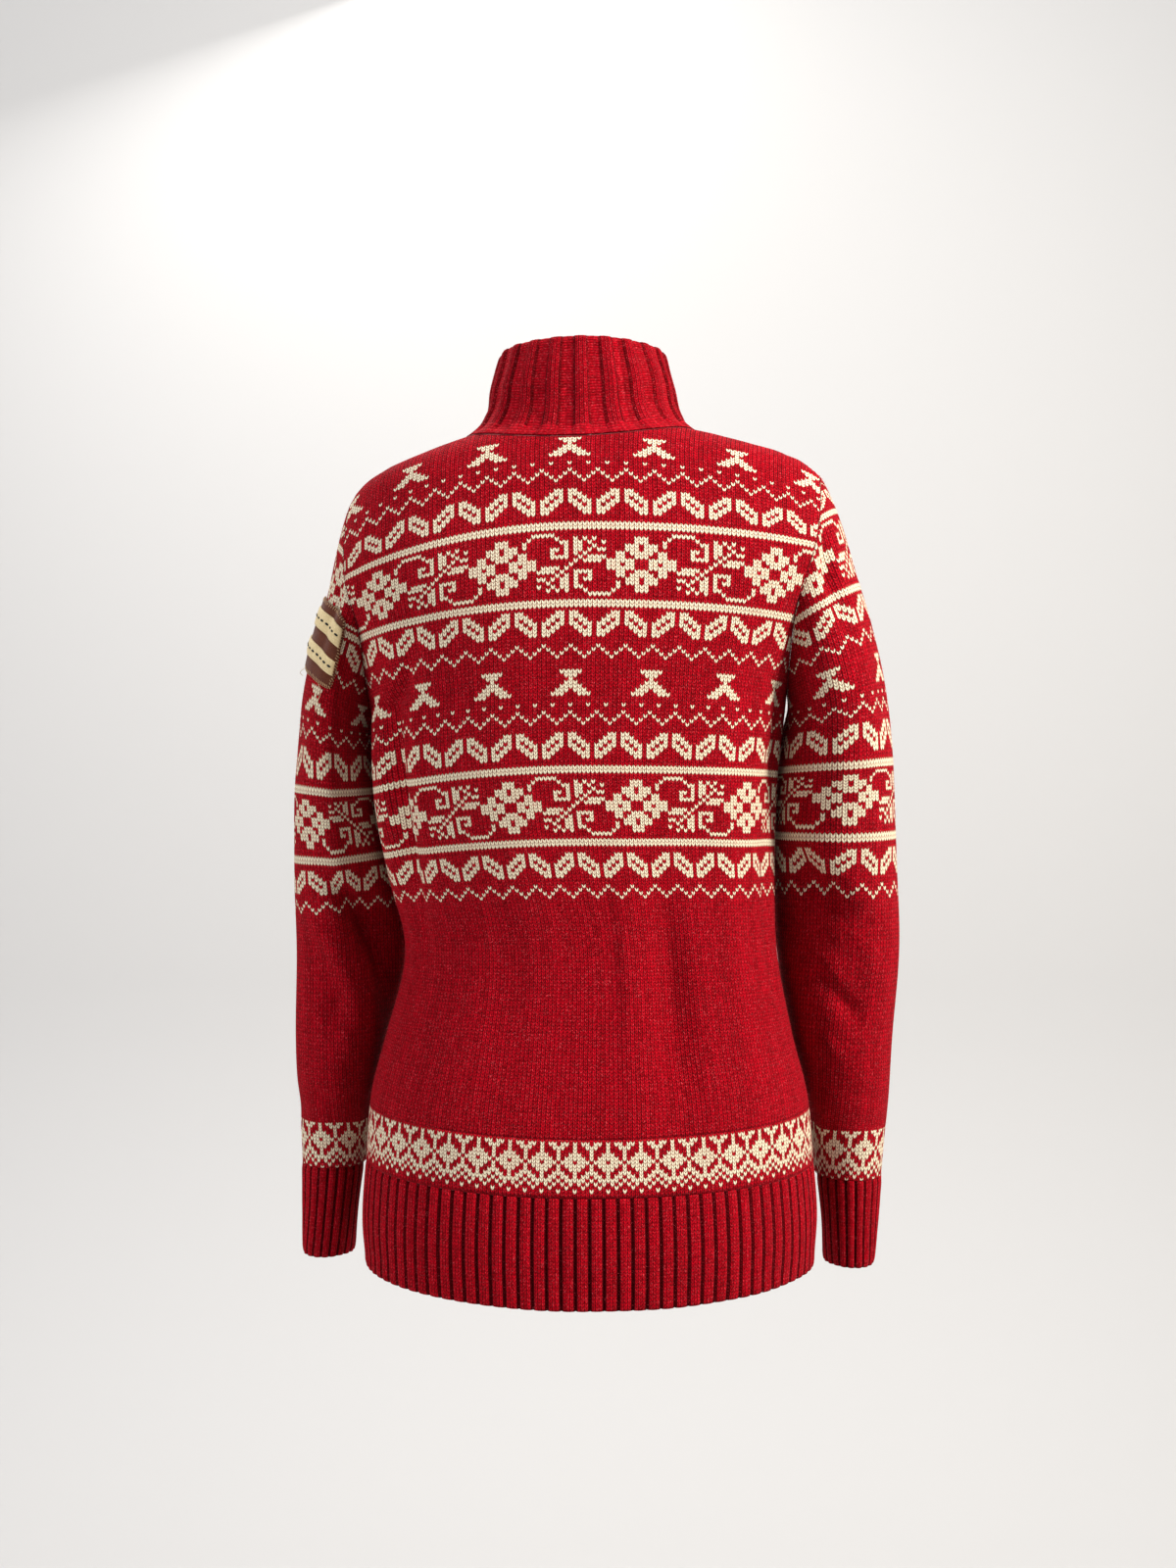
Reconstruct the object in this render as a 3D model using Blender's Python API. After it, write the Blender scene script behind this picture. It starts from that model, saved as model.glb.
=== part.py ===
"""A knitted wool cardigan with a high ribbed funnel collar and a front zip, held as if worn.

Metres, +Z up. The wearer faces +Y, and the wearer's left is -X. The origin is at the level of
the neck, where the shoulders carry the garment. Every cloth piece is a wall: a grid of points
on its outer face, and the same grid moved in by the wall's thickness.
"""
import math

import bmesh
import bpy
import numpy as np
from mathutils import Matrix, Vector

for old in list(bpy.data.objects):
    bpy.data.objects.remove(old, do_unlink=True)

# Driving sizes
WALL = 0.0025            # knitted panels
RIB_WALL = 0.0028        # from a rib's crest to the plain inside of the band
COLLAR_WALL = 0.0036     # the collar is knitted double
SEAM = 0.0003            # half of the gap that is left between two sewn pieces
HEM_Z = -0.661           # lower edge of the hem band
RIB_TOP_Z = -0.578       # seam between hem band and panels
NECK_X = 0.093           # half width of the neck opening, at the shoulder seam
COLLAR_TOP_Z = 0.070
CUFF_TOP_Z = -0.591
CUFF_Z = -0.6645
ROUND = 2.1              # exponent of the torso's cross-sections, 2 is an ellipse
ZIP_GAP = 0.0034         # half of the opening between the fronts, which the zip fills
BACK_RIBS = 46
FRONT_RIBS = 23
CUFF_RIBS = 20
COLLAR_RIBS = 21
LOWER_ROWS = 11
UPPER_ROWS = 9
SLEEVE_ROWS = 16

# Torso: height, half width at the side seam or armhole seam, depth of the back, of the front
TORSO = np.array([
    (-0.680, 0.1780, 0.1235, 0.1275),
    (-0.661, 0.1790, 0.1240, 0.1280),
    (-0.622, 0.1810, 0.1250, 0.1290),
    (-0.581, 0.1785, 0.1230, 0.1270),
    (-0.518, 0.1735, 0.1170, 0.1220),
    (-0.471, 0.1620, 0.1100, 0.1160),
    (-0.400, 0.1485, 0.1040, 0.1120),
    (-0.342, 0.1540, 0.1070, 0.1160),
    (-0.274, 0.1610, 0.1140, 0.1240),
    (-0.205, 0.1665, 0.1180, 0.1280),
    (-0.176, 0.1675, 0.1180, 0.1250),
    (-0.145, 0.1695, 0.1165, 0.1180),
    (-0.087, 0.1835, 0.1080, 0.0960),
    (-0.060, 0.1868, 0.1010, 0.0850),
    (-0.030, 0.1870, 0.0930, 0.0760),
    (-0.010, 0.1870, 0.0840, 0.0700),
    (0.006, 0.1870, 0.0730, 0.0640),
])
# Shoulder line: distance from the centre, height
SHOULDER = np.array([
    (0.0930, 0.0030),
    (0.1150, -0.0015),
    (0.1337, -0.0065),
    (0.1600, -0.0140),
    (0.1770, -0.0215),
    (0.1870, -0.0300),
])
# Sleeve rings, from the top of the sleeve head to below the cuff:
# outer x, outer z, inner x, inner z, centre y, half depth
SLEEVE = np.array([
    (0.1680, -0.010, 0.1180, -0.068, 0.000, 0.0440),
    (0.1870, -0.030, 0.1280, -0.085, 0.000, 0.0520),
    (0.2005, -0.062, 0.1400, -0.113, 0.000, 0.0580),
    (0.2125, -0.108, 0.1520, -0.150, 0.001, 0.0620),
    (0.2245, -0.150, 0.1620, -0.184, 0.003, 0.0640),
    (0.2350, -0.195, 0.1682, -0.216, 0.006, 0.0640),
    (0.2405, -0.240, 0.1652, -0.250, 0.010, 0.0620),
    (0.2436, -0.300, 0.1594, -0.304, 0.018, 0.0580),
    (0.2460, -0.400, 0.1548, -0.400, 0.028, 0.0500),
    (0.2435, -0.515, 0.1785, -0.515, 0.036, 0.0400),
    (0.2395, -0.570, 0.1875, -0.570, 0.040, 0.0345),
    (0.2370, -0.6245, 0.1935, -0.6245, 0.042, 0.0310),
    (0.2350, -0.679, 0.1955, -0.679, 0.043, 0.0300),
])
# Collar outline: share of its height, share of the way from its top ring out to the neck seam
COLLAR = np.array([
    (0.00, 1.000),
    (0.09, 0.680),
    (0.24, 0.440),
    (0.58, 0.270),
    (0.93, 0.040),
    (1.00, 0.000),
])
COLLAR_TOP_HALF_WIDTH = 0.0657
COLLAR_TOP_BACK = 0.0660
COLLAR_TOP_FRONT = 0.0560
# Pose: height, turn of the torso (degrees), sideways shift of the torso, of the sleeves,
# how far the left side hangs down, how far the right side does
POSE = np.array([
    (-0.680, 0.0, 0.0015, 0.0000, -0.008, -0.008),
    (-0.580, 0.0, 0.0010, 0.0035, -0.007, -0.004),
    (-0.480, 0.0, 0.0010, 0.0050, 0.000, 0.001),
    (-0.400, -1.5, 0.0020, 0.0065, 0.006, 0.004),
    (-0.330, -3.0, -0.0060, 0.0035, 0.0155, 0.005),
    (-0.270, -4.5, -0.0100, 0.0018, 0.017, 0.003),
    (-0.200, -6.0, -0.0080, 0.0015, 0.014, 0.001),
    (-0.140, -6.0, -0.0050, 0.0010, 0.013, 0.000),
    (-0.085, -6.0, -0.0040, 0.0000, 0.019, 0.000),
    (-0.030, -6.0, -0.0035, -0.0020, 0.012, 0.000),
    (0.080, -6.0, -0.0045, 0.0000, 0.007, 0.000),
])
# Folds of the torso: side (-1 back, 1 front), place across as a share of the half panel,
# height of the middle, half width, half length, depth (inwards is negative), lean
FOLDS = [
    (-1, -0.66, -0.285, 0.065, 0.085, -0.0060, 0.10),
    (-1, -0.80, -0.280, 0.060, 0.090, 0.0035, 0.12),
    (-1, 0.84, -0.290, 0.060, 0.080, -0.0040, -0.10),
    (-1, 0.45, -0.325, 0.090, 0.050, -0.0025, 0.20),
    (-1, 0.28, -0.440, 0.085, 0.090, -0.0030, 0.10),
    (-1, -0.30, -0.430, 0.100, 0.080, -0.0020, -0.15),
    (-1, 0.62, -0.455, 0.070, 0.070, 0.0020, 0.10),
    (1, -0.72, -0.270, 0.060, 0.080, -0.0045, 0.12),
    (1, 0.76, -0.280, 0.060, 0.085, -0.0045, -0.12),
    (1, 0.40, -0.430, 0.090, 0.080, -0.0025, 0.10),
    (1, -0.36, -0.445, 0.090, 0.075, -0.0025, -0.10),
]
# Folds of the sleeves: side, angle in degrees (0 outer, -90 back), ring, half width in degrees,
# half length in rings, depth
SLEEVE_FOLDS = [
    (1, -62, 2.6, 16, 1.3, -0.0045),
    (1, -30, 5.2, 22, 0.7, -0.0025),
    (1, -100, 8.0, 30, 0.35, -0.0040),
    (1, -60, 8.6, 34, 0.30, -0.0030),
    (1, 80, 8.2, 40, 0.40, -0.0040),
    (1, -118, 7.75, 20, 0.28, -0.0060),
    (1, -78, 8.30, 15, 0.15, -0.0034),
    (-1, -66, 2.8, 16, 1.2, -0.0035),
    (-1, -40, 5.6, 22, 0.6, -0.0025),
    (-1, -75, 8.1, 32, 0.35, -0.0040),
    (-1, -30, 9.4, 34, 0.30, -0.0025),
    (-1, 80, 8.2, 40, 0.40, -0.0040),
    (-1, -112, 7.70, 24, 0.34, -0.0070),
    (-1, -84, 8.45, 14, 0.18, -0.0034),
]

RED = (0.42, 0.008, 0.028)
CREAM = (0.80, 0.70, 0.50)


def smooth(table, column, at, key=0):
    """The table's column at each place, on a smooth curve through its rows."""
    x = table[:, key] if key is not None else np.arange(len(table), dtype=float)
    y = table[:, column]
    slope = np.gradient(y, x)
    at = np.clip(np.asarray(at, float), x[0], x[-1])
    i = np.clip(np.searchsorted(x, at, side="right") - 1, 0, len(x) - 2)
    h = x[i + 1] - x[i]
    t = (at - x[i]) / h
    return ((2 * t**3 - 3 * t**2 + 1) * y[i] + (t**3 - 2 * t**2 + t) * h * slope[i]
            + (3 * t**2 - 2 * t**3) * y[i + 1] + (t**3 - t**2) * h * slope[i + 1])


def step(low, high, at):
    t = np.clip((at - low) / (high - low), 0, 1)
    return t * t * (3 - 2 * t)


def unit(v):
    return v / np.maximum(np.linalg.norm(v, axis=-1, keepdims=True), 1e-12)


def lengths(line):
    """Distance along a line of points, starting from 0."""
    steps = np.linalg.norm(np.diff(line, axis=0), axis=1)
    return np.concatenate([[0.0], np.cumsum(steps)])


def along(line, places):
    """Points at the given shares of a line's length."""
    run = lengths(line)
    return np.stack([np.interp(np.asarray(places) * run[-1], run, line[:, k]) for k in range(3)], -1)


def pose(points):
    """Turns, shifts and drops the straight garment into the way it hangs."""
    p = np.array(points, float)
    x, y, z = p[..., 0], p[..., 1], p[..., 2]
    share = step(0.165, 0.215, np.abs(x))
    hang = step(0.1815, 0.1870, np.abs(x)) * step(-0.50, -0.62, z) * np.where(x < 0, 0.003, 0.011)
    x = x + (1 - share) * smooth(POSE, 2, z) + share * smooth(POSE, 3, z)
    turn = np.radians(smooth(POSE, 1, z))
    x, y = x * np.cos(turn) - y * np.sin(turn), x * np.sin(turn) + y * np.cos(turn)
    out = np.minimum((x / 0.18) ** 2, 1.25)
    z = z - out * np.where(x < 0, smooth(POSE, 4, z), smooth(POSE, 5, z)) - hang
    return np.stack([x, y, z], -1)


def sleeve_point(side, ring, angle):
    """Outer face of a sleeve. Angle 0 is its outer side and minus a right angle its back."""
    ox, oz, ix, iz, cy, hy = (smooth(SLEEVE, k, ring, key=None) for k in range(6))
    cos, sin = np.cos(angle), np.sin(angle)
    x = (ox + ix) / 2 + (ox - ix) / 2 * cos
    z = (oz + iz) / 2 + (oz - iz) / 2 * cos
    return np.stack([side * x, cy + hy * sin, z], -1)


def armhole_line(share):
    """Sleeve ring and angle along one half of the armhole, from underarm to shoulder tip.

    share holds places from 0 to 1 by length. The front half is this one's mirror in angle.
    """
    angles = np.linspace(math.pi, 0, 181)
    rings = np.linspace(0.2, 7.0, 1400)
    grid = sleeve_point(1, rings[:, None], angles[None, :])
    clear = grid[..., 0] > smooth(TORSO, 1, grid[..., 2])
    # the first ring, from the top down, from which the sleeve is outside the torso's edge
    first = np.array([np.flatnonzero(clear[:, k])[0] for k in range(len(angles))])
    ring = rings[first]
    run = lengths(sleeve_point(1, ring, angles))
    places = np.asarray(share) * run[-1]
    return np.interp(places, run, ring), np.interp(places, run, angles)


ARM_RING, ARM_ANGLE = armhole_line(np.linspace(0, 1, 241))
ARM_BACK = sleeve_point(1, ARM_RING, -ARM_ANGLE)
ARM_FRONT = sleeve_point(1, ARM_RING, ARM_ANGLE)
UNDER_Z = float(ARM_BACK[0, 2])
TOP_Z = float(ARM_BACK[-1, 2])


def row_shape(z, face):
    """Edge x, full half width and depth of the torso's cross-section at a height."""
    depth = float(smooth(TORSO, 2 if face < 0 else 3, z))
    if z <= UNDER_Z:
        edge = float(smooth(TORSO, 1, z))
        return edge, edge, depth
    if z <= TOP_Z:
        line = ARM_BACK if face < 0 else ARM_FRONT
        edge = float(np.interp(z, line[:, 2], line[:, 0]))
        inset = min(abs(float(np.interp(z, line[:, 2], line[:, 1]))) / depth, 0.95)
        return edge, edge / (1 - inset**ROUND) ** (1 / ROUND), depth
    wide = float(np.interp(-z, -SHOULDER[:, 1], SHOULDER[:, 0]))
    return wide, wide, depth


def row_points(z, shares, face):
    """Points of the torso's outer face at one height, at shares -1 to 1 of the way across."""
    edge, wide, depth = row_shape(z, face)
    top = math.asin(min(1.0, (edge / wide) ** (ROUND / 2)))
    angle = np.linspace(0, top, 61)
    x = wide * np.sin(angle) ** (2 / ROUND)
    y = face * depth * np.cos(angle) ** (2 / ROUND)
    run = np.concatenate([[0.0], np.cumsum(np.hypot(np.diff(x), np.diff(y)))])
    places = np.abs(np.asarray(shares, float)) * run[-1]
    px = np.interp(places, run, x) * np.sign(shares)
    return np.stack([px, np.interp(places, run, y), np.full_like(px, z)], -1)


def neck_z(x, face):
    """Height of the neck seam at a distance from the centre."""
    if face < 0:
        return -0.011 + 0.014 * (x / NECK_X) ** 2
    return -0.058 + 0.061 * (x / NECK_X) ** 2.4


def column_above(low, share, face):
    """A line up the torso from underarm level to the shoulder or neck.

    low is its place across at the underarm, and share its place across at the top.
    """
    tip = row_points(TOP_Z, [share], face)[0]
    reach = abs(tip[0])
    top = float(np.interp(reach, SHOULDER[:, 0], SHOULDER[:, 1]))
    top = min(top, TOP_Z) if abs(share) > 0.999 else top
    limit = 0.004 if reach < NECK_X else top
    heights = UNDER_Z + (limit - UNDER_Z) * (1 - (1 - np.linspace(0, 1, 161)) ** 2)
    line = []
    for z in heights:
        if z <= TOP_Z:
            place = low + (share - low) * float(step(UNDER_Z, -0.068, z))
            p = row_points(z, [place], face)[0]
        else:
            depth = float(smooth(TORSO, 2 if face < 0 else 3, z))
            wide = float(np.interp(-z, -SHOULDER[:, 1], SHOULDER[:, 0]))
            inside = max(0.0, 1 - (reach / wide) ** ROUND)
            p = np.array([tip[0], face * depth * inside ** (1 / ROUND), z])
        if reach < NECK_X and z > neck_z(abs(p[0]), face):
            before = line[-1]
            gap_before = neck_z(abs(before[0]), face) - before[2]
            gap_after = neck_z(abs(p[0]), face) - p[2]
            line.append(before + (p - before) * gap_before / (gap_before - gap_after))
            break
        line.append(p)
    return np.array(line)


def fold_depth(share, z, face):
    depth = np.zeros(np.broadcast(share, z).shape)
    for side, place, middle, wide, tall, deep, lean in FOLDS:
        if side == face:
            across = (share - place - lean * (z - middle)) / wide
            depth = depth + deep * np.exp(-across**2 - ((z - middle) / tall) ** 2)
    fade = step(1.0, 0.90, np.abs(share)) * step(0.0, 0.06, np.abs(share) if face > 0 else 1.0)
    return depth * fade * step(RIB_TOP_Z, RIB_TOP_Z + 0.05, z)


def grid_normals(grid, around=False):
    """Outward unit normals of a grid of points, rows going up and columns going to +X."""
    du = np.gradient(grid, axis=1)
    if around:
        du = (np.roll(grid, -1, 1) - np.roll(grid, 1, 1)) / 2
    dv = np.gradient(grid, axis=0)
    return unit(np.cross(du, dv))


def inward_blend(points, inward, side):
    """At the armhole both sewn edges turn the same way in, towards the middle of the shoulder."""
    target = unit(np.array([side * 0.120, 0.0, -0.115]) - points)
    agree = step(0.2, 0.7, np.sum(target * inward, -1))[..., None]
    return unit(target * agree + inward * (1 - agree))


def neck_line(face):
    """Points along half of the neck seam, from the centre to the shoulder seam."""
    line = []
    for x in NECK_X * (1 - (1 - np.linspace(0, 1, 81)) ** 2):
        z = neck_z(x, face)
        depth = float(smooth(TORSO, 2 if face < 0 else 3, z))
        if z <= TOP_Z:
            wide = row_shape(z, face)[1]
        else:
            wide = float(np.interp(-z, -SHOULDER[:, 1], SHOULDER[:, 0]))
        y = face * depth * max(0.0, 1 - (x / wide) ** ROUND) ** (1 / ROUND)
        line.append((x, y, z))
    return np.array(line)


def half_shares(first, face, count):
    """Places across half a panel, at its foot and at its top, where one is on the neck point."""
    places = np.linspace(0, 1, 401)
    run = row_points(TOP_Z, places, face)[:, 0]
    neck = float(np.interp(NECK_X, run, places))
    low = np.concatenate([np.linspace(first, neck, count + 1)[:-1], np.linspace(neck, 1, count + 1)])
    seam = along(neck_line(face), np.linspace(0, 1, count + 1))[:, 0]
    top = np.interp(seam, run, places)
    top[0] = first
    return low, np.concatenate([top[:-1], np.linspace(neck, 1, count + 1)])


def panel_grid(shares, tops, face):
    """Outer points and inward directions of a torso panel, from the hem band up."""
    heights = np.linspace(RIB_TOP_Z, UNDER_Z, LOWER_ROWS + 1)
    lower = np.array([row_points(z, shares, face) for z in heights])
    places = np.linspace(0, 1, UPPER_ROWS + 1)
    upper = np.stack([along(column_above(s, t, face), places) for s, t in zip(shares, tops)], 1)
    grid = np.concatenate([lower, upper[1:]])
    normal = grid_normals(grid) * (-face)
    shares = np.asarray(shares)
    grid = grid + normal * fold_depth(shares[None, :], grid[..., 2], face)[..., None]
    normal = grid_normals(grid) * (-face)
    for column, share in enumerate(shares):
        if abs(share) > 0.999:
            side = np.sign(share)
            seam = np.stack([np.full(len(grid), side), np.zeros(len(grid)),
                             -np.gradient(np.abs(grid[:, column, 0]), grid[:, column, 2])], -1)
            under = np.arange(len(grid)) <= LOWER_ROWS
            own = np.where(under[:, None], unit(seam), normal[:, column])
            blend = -inward_blend(grid[:, column], -own, side)
            normal[:, column] = np.where(under[:, None], own, blend)
            grid[under, column, 1] = face * SEAM
            grid[~under, column, 0] -= side * SEAM
    top = np.abs(grid[-1, :, 0]) >= NECK_X - 1e-5
    side = np.sign(grid[-1, :, 0])
    ridge = unit(np.stack([side * 0.30, np.zeros(len(side)), np.ones(len(side))], -1))
    edge = np.abs(shares) > 0.999
    normal[-1] = np.where((top & ~edge)[:, None], ridge, normal[-1])
    grid[-1, top, 1] = face * SEAM
    return grid, -normal


def rib_offsets(count, rise, groove, crest):
    """Place and rise of the points across a run of ribs: groove, then the two ends of a crest."""
    places, rises = [], []
    for k in range(count):
        places += [k / count, (k + crest) / count, (k + 1 - crest) / count]
        rises += [groove, rise, rise]
    return np.array(places + [1.0]), np.array(rises + [groove])


def band_grid(low, high, count, face, first=-1.0):
    """Outer and inner points of a stretch of the ribbed hem band."""
    places, rises = rib_offsets(count, 0.0004, -0.0011, 0.15)
    shares = low + (high - low) * places
    heights = np.array([HEM_Z, RIB_TOP_Z - 2 * SEAM])
    base = np.array([row_points(z, shares, face) for z in heights])
    normal = grid_normals(base) * (-face)
    for column, share in enumerate(shares):
        if abs(share) > 0.999:
            normal[:, column] = np.array([np.sign(share), 0.0, 0.0])
            base[:, column, 1] = face * SEAM
    soft = np.array([1.0, 0.7])[:, None, None]
    outer = base + normal * rises[None, :, None] * soft
    return outer, base - normal * RIB_WALL


def material(name, colour, rough, metal=0.0):
    mat = bpy.data.materials.new(name)
    mat.use_nodes = True
    shader = mat.node_tree.nodes["Principled BSDF"]
    shader.inputs["Base Color"].default_value = (*colour, 1.0)
    shader.inputs["Roughness"].default_value = rough
    shader.inputs["Metallic"].default_value = metal
    mat.diffuse_color = (*colour, 1.0)
    return mat


collection = bpy.data.collections.new("cardigan")
bpy.context.scene.collection.children.link(collection)


def add_mesh(name, mesh, mat):
    obj = bpy.data.objects.new(name, mesh)
    mesh.materials.append(mat)
    collection.objects.link(obj)
    return obj


def wall(name, outer, inner, mat, closed=False, posed=True):
    """A closed solid between two grids of points, open or joined up in the column direction."""
    rows, columns = outer.shape[:2]
    if posed:
        outer, inner = pose(outer), pose(inner)
    bm = bmesh.new()
    sheets = [[[bm.verts.new(p) for p in row] for row in grid] for grid in (outer, inner)]
    runs = columns if closed else columns - 1
    for j in range(rows - 1):
        for i in range(runs):
            k = (i + 1) % columns
            for sheet in sheets:
                bm.faces.new((sheet[j][i], sheet[j][k], sheet[j + 1][k], sheet[j + 1][i]))
    for j in (0, rows - 1):
        for i in range(runs):
            k = (i + 1) % columns
            bm.faces.new((sheets[0][j][i], sheets[0][j][k], sheets[1][j][k], sheets[1][j][i]))
    if not closed:
        for i in (0, columns - 1):
            for j in range(rows - 1):
                bm.faces.new((sheets[0][j][i], sheets[0][j + 1][i],
                              sheets[1][j + 1][i], sheets[1][j][i]))
    bmesh.ops.recalc_face_normals(bm, faces=bm.faces)
    mesh = bpy.data.meshes.new(name)
    bm.to_mesh(mesh)
    bm.free()
    mesh.shade_smooth()
    mesh.set_sharp_from_angle(angle=math.radians(50))
    return add_mesh(name, mesh, mat)


def build_torso(wool):
    """Back, two fronts and the three stretches of the hem band. Returns the fronts' points."""
    kept = {}
    low, top = half_shares(0.0, -1, 6)
    low, top = (np.concatenate([-half[:0:-1], half]) for half in (low, top))
    outer, inward = panel_grid(low, top, -1)
    wall("back", outer, outer + inward * WALL, wool["back"])
    kept["back"] = outer
    start = ZIP_GAP / 0.208
    for side, name in ((-1, "left"), (1, "right")):
        low, top = ((half * side)[::side] for half in half_shares(start, 1, 6))
        outer, inward = panel_grid(low, top, 1)
        wall("front_" + name, outer, outer + inward * WALL, wool["front_" + name])
        kept["front_" + name] = (outer, outer + inward * WALL, inward)
    outer, inner = band_grid(-1, 1, BACK_RIBS, -1)
    wall("back_rib", outer, inner, wool["back_rib"])
    for side, name in ((-1, "left"), (1, "right")):
        low, high = (-1.0, -start) if side < 0 else (start, 1.0)
        outer, inner = band_grid(low, high, FRONT_RIBS, 1)
        wall(f"front_{name}_rib", outer, inner, wool[f"front_{name}_rib"])
        kept[f"front_{name}_rib"] = (outer, inner)
    return kept


def ring_at(height):
    rings = np.linspace(6, 12, 1201)
    return float(np.interp(-height, -sleeve_point(1, rings, 0.0)[:, 2], rings))


def sleeve_fold(side, ring, angle):
    depth = np.zeros(np.broadcast(ring, angle).shape)
    for which, place, middle, wide, tall, deep in SLEEVE_FOLDS:
        if which == side:
            across = np.degrees((angle - math.radians(place) + math.pi) % (2 * math.pi) - math.pi)
            depth = depth + deep * np.exp(-(across / wide) ** 2 - ((ring - middle) / tall) ** 2)
    return depth


def build_sleeve(side, name, mats):
    ring, angle = armhole_line(np.linspace(0, 1, UPPER_ROWS + 1))
    rings = np.concatenate([ring, ring[-2:0:-1]])
    angles = np.concatenate([-angle, angle[-2:0:-1]])
    last = ring_at(CUFF_TOP_Z)
    rows = SLEEVE_ROWS
    grid_rings, grid_angles = [], []
    for j in range(rows + 1):
        t = j / rows
        grid_rings.append(rings + 0.011 + (last - 0.006 - rings - 0.011) * t)
        grid_angles.append(angles)
    r, a = np.array(grid_rings), np.array(grid_angles)
    outer = sleeve_point(side, r, a)
    turn = np.cross(np.roll(outer, -1, 1) - np.roll(outer, 1, 1), np.gradient(outer, axis=0))
    normal = unit(turn) * (side if side > 0 else -1) * 1.0
    middle = outer.mean(axis=1, keepdims=True)
    flip = np.sign(np.sum((outer - middle) * normal, -1, keepdims=True).mean())
    normal = normal * flip
    depth = sleeve_fold(side, r, a) * step(0.0, 0.12, np.linspace(0, 1, rows + 1))[:, None]
    outer = outer + normal * depth[..., None]
    inward = -normal
    inward[0] = inward_blend(outer[0], inward[0], side)
    wall("sleeve_" + name, outer, outer + inward * WALL, mats["sleeve_" + name], closed=True)

    count = CUFF_RIBS
    places, rises = rib_offsets(count, 0.0006, -0.0010, 0.16)
    places, rises = places[:-1], rises[:-1]
    turn = places * 2 * math.pi
    rings = np.array([last, ring_at(CUFF_Z)])
    base = sleeve_point(side, rings[:, None], turn[None, :])
    tangent = np.roll(base, -1, 1) - np.roll(base, 1, 1)
    normal = unit(np.cross(tangent, np.broadcast_to([0.0, 0.0, 1.0], tangent.shape)))
    normal = normal * np.sign(np.sum((base - base.mean(axis=1, keepdims=True)) * normal, -1).mean())
    outer = base + normal * rises[None, :, None]
    wall("cuff_" + name, outer, base - normal * RIB_WALL, mats["cuff_" + name], closed=True)


def build_collar(kept, mat):
    """Funnel collar: its foot lies on the neck seam of the panels, a gap above it."""
    right, left, back = kept["front_right"][0][-1], kept["front_left"][0][-1], kept["back"][-1]

    def inside(line):
        return line[np.abs(line[:, 0]) <= NECK_X + 1e-5]

    # once round, from the right front edge over the back to the left front edge
    foot = np.concatenate([inside(right), inside(back)[::-1], inside(left)])
    foot = foot[np.concatenate([[True], np.linalg.norm(np.diff(foot, axis=0), axis=1) > 0.002])]
    places, rises = [], []
    for k in range(COLLAR_RIBS):
        places += [(k + 0.04) / COLLAR_RIBS, (k + 0.46) / COLLAR_RIBS,
                   (k + 0.54) / COLLAR_RIBS, (k + 0.96) / COLLAR_RIBS]
        rises += [0.0010, 0.0010, -0.0006, -0.0006]
    places[0], places[-1] = 0.0, 1.0
    places, rises = np.array(places), np.array(rises)
    neck = along(foot, places)
    gap = math.asin(ZIP_GAP / COLLAR_TOP_HALF_WIDTH)
    turn = math.pi / 2 - gap - places * (2 * math.pi - 2 * gap)
    depth = np.where(np.sin(turn) > 0, COLLAR_TOP_FRONT, COLLAR_TOP_BACK)
    top = np.stack([COLLAR_TOP_HALF_WIDTH * np.cos(turn), depth * np.sin(turn),
                    np.full(len(turn), COLLAR_TOP_Z)], -1)
    rows = []
    for share, out in COLLAR:
        height = neck[:, 2] + 2 * SEAM + (top[:, 2] - neck[:, 2] - 2 * SEAM) * share
        flat = top[:, :2] + (neck[:, :2] - top[:, :2]) * out
        rows.append(np.concatenate([flat, height[:, None]], -1))
    base = np.array(rows)
    clear = np.where(neck[:, 1] > 0, 0.0013, 0.0004)[:, None]
    base[0] += unit(base[1] - base[0]) * clear
    normal = grid_normals(base[:, ::-1])[:, ::-1]
    normal[..., 2] = np.clip(normal[..., 2], -0.5, 0.5)
    normal[0, :, 2] = -0.15
    normal[1, :, 2] *= 0.4
    normal[-1] = normal[-2]
    normal = unit(normal)
    ribs = np.array([0.5, 0.9, 1.0, 1.0, 0.9, 0.4])[:, None, None]
    trim = np.array([0.0, 0.0, 0.0, 0.0, 0.0, 0.0010])[:, None, None]
    outer = base + normal * (rises[None, :, None] * ribs - trim)
    inner = base - normal * (COLLAR_WALL - trim)
    wall("collar", outer, inner, mat)
    return outer, inner, normal


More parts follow.
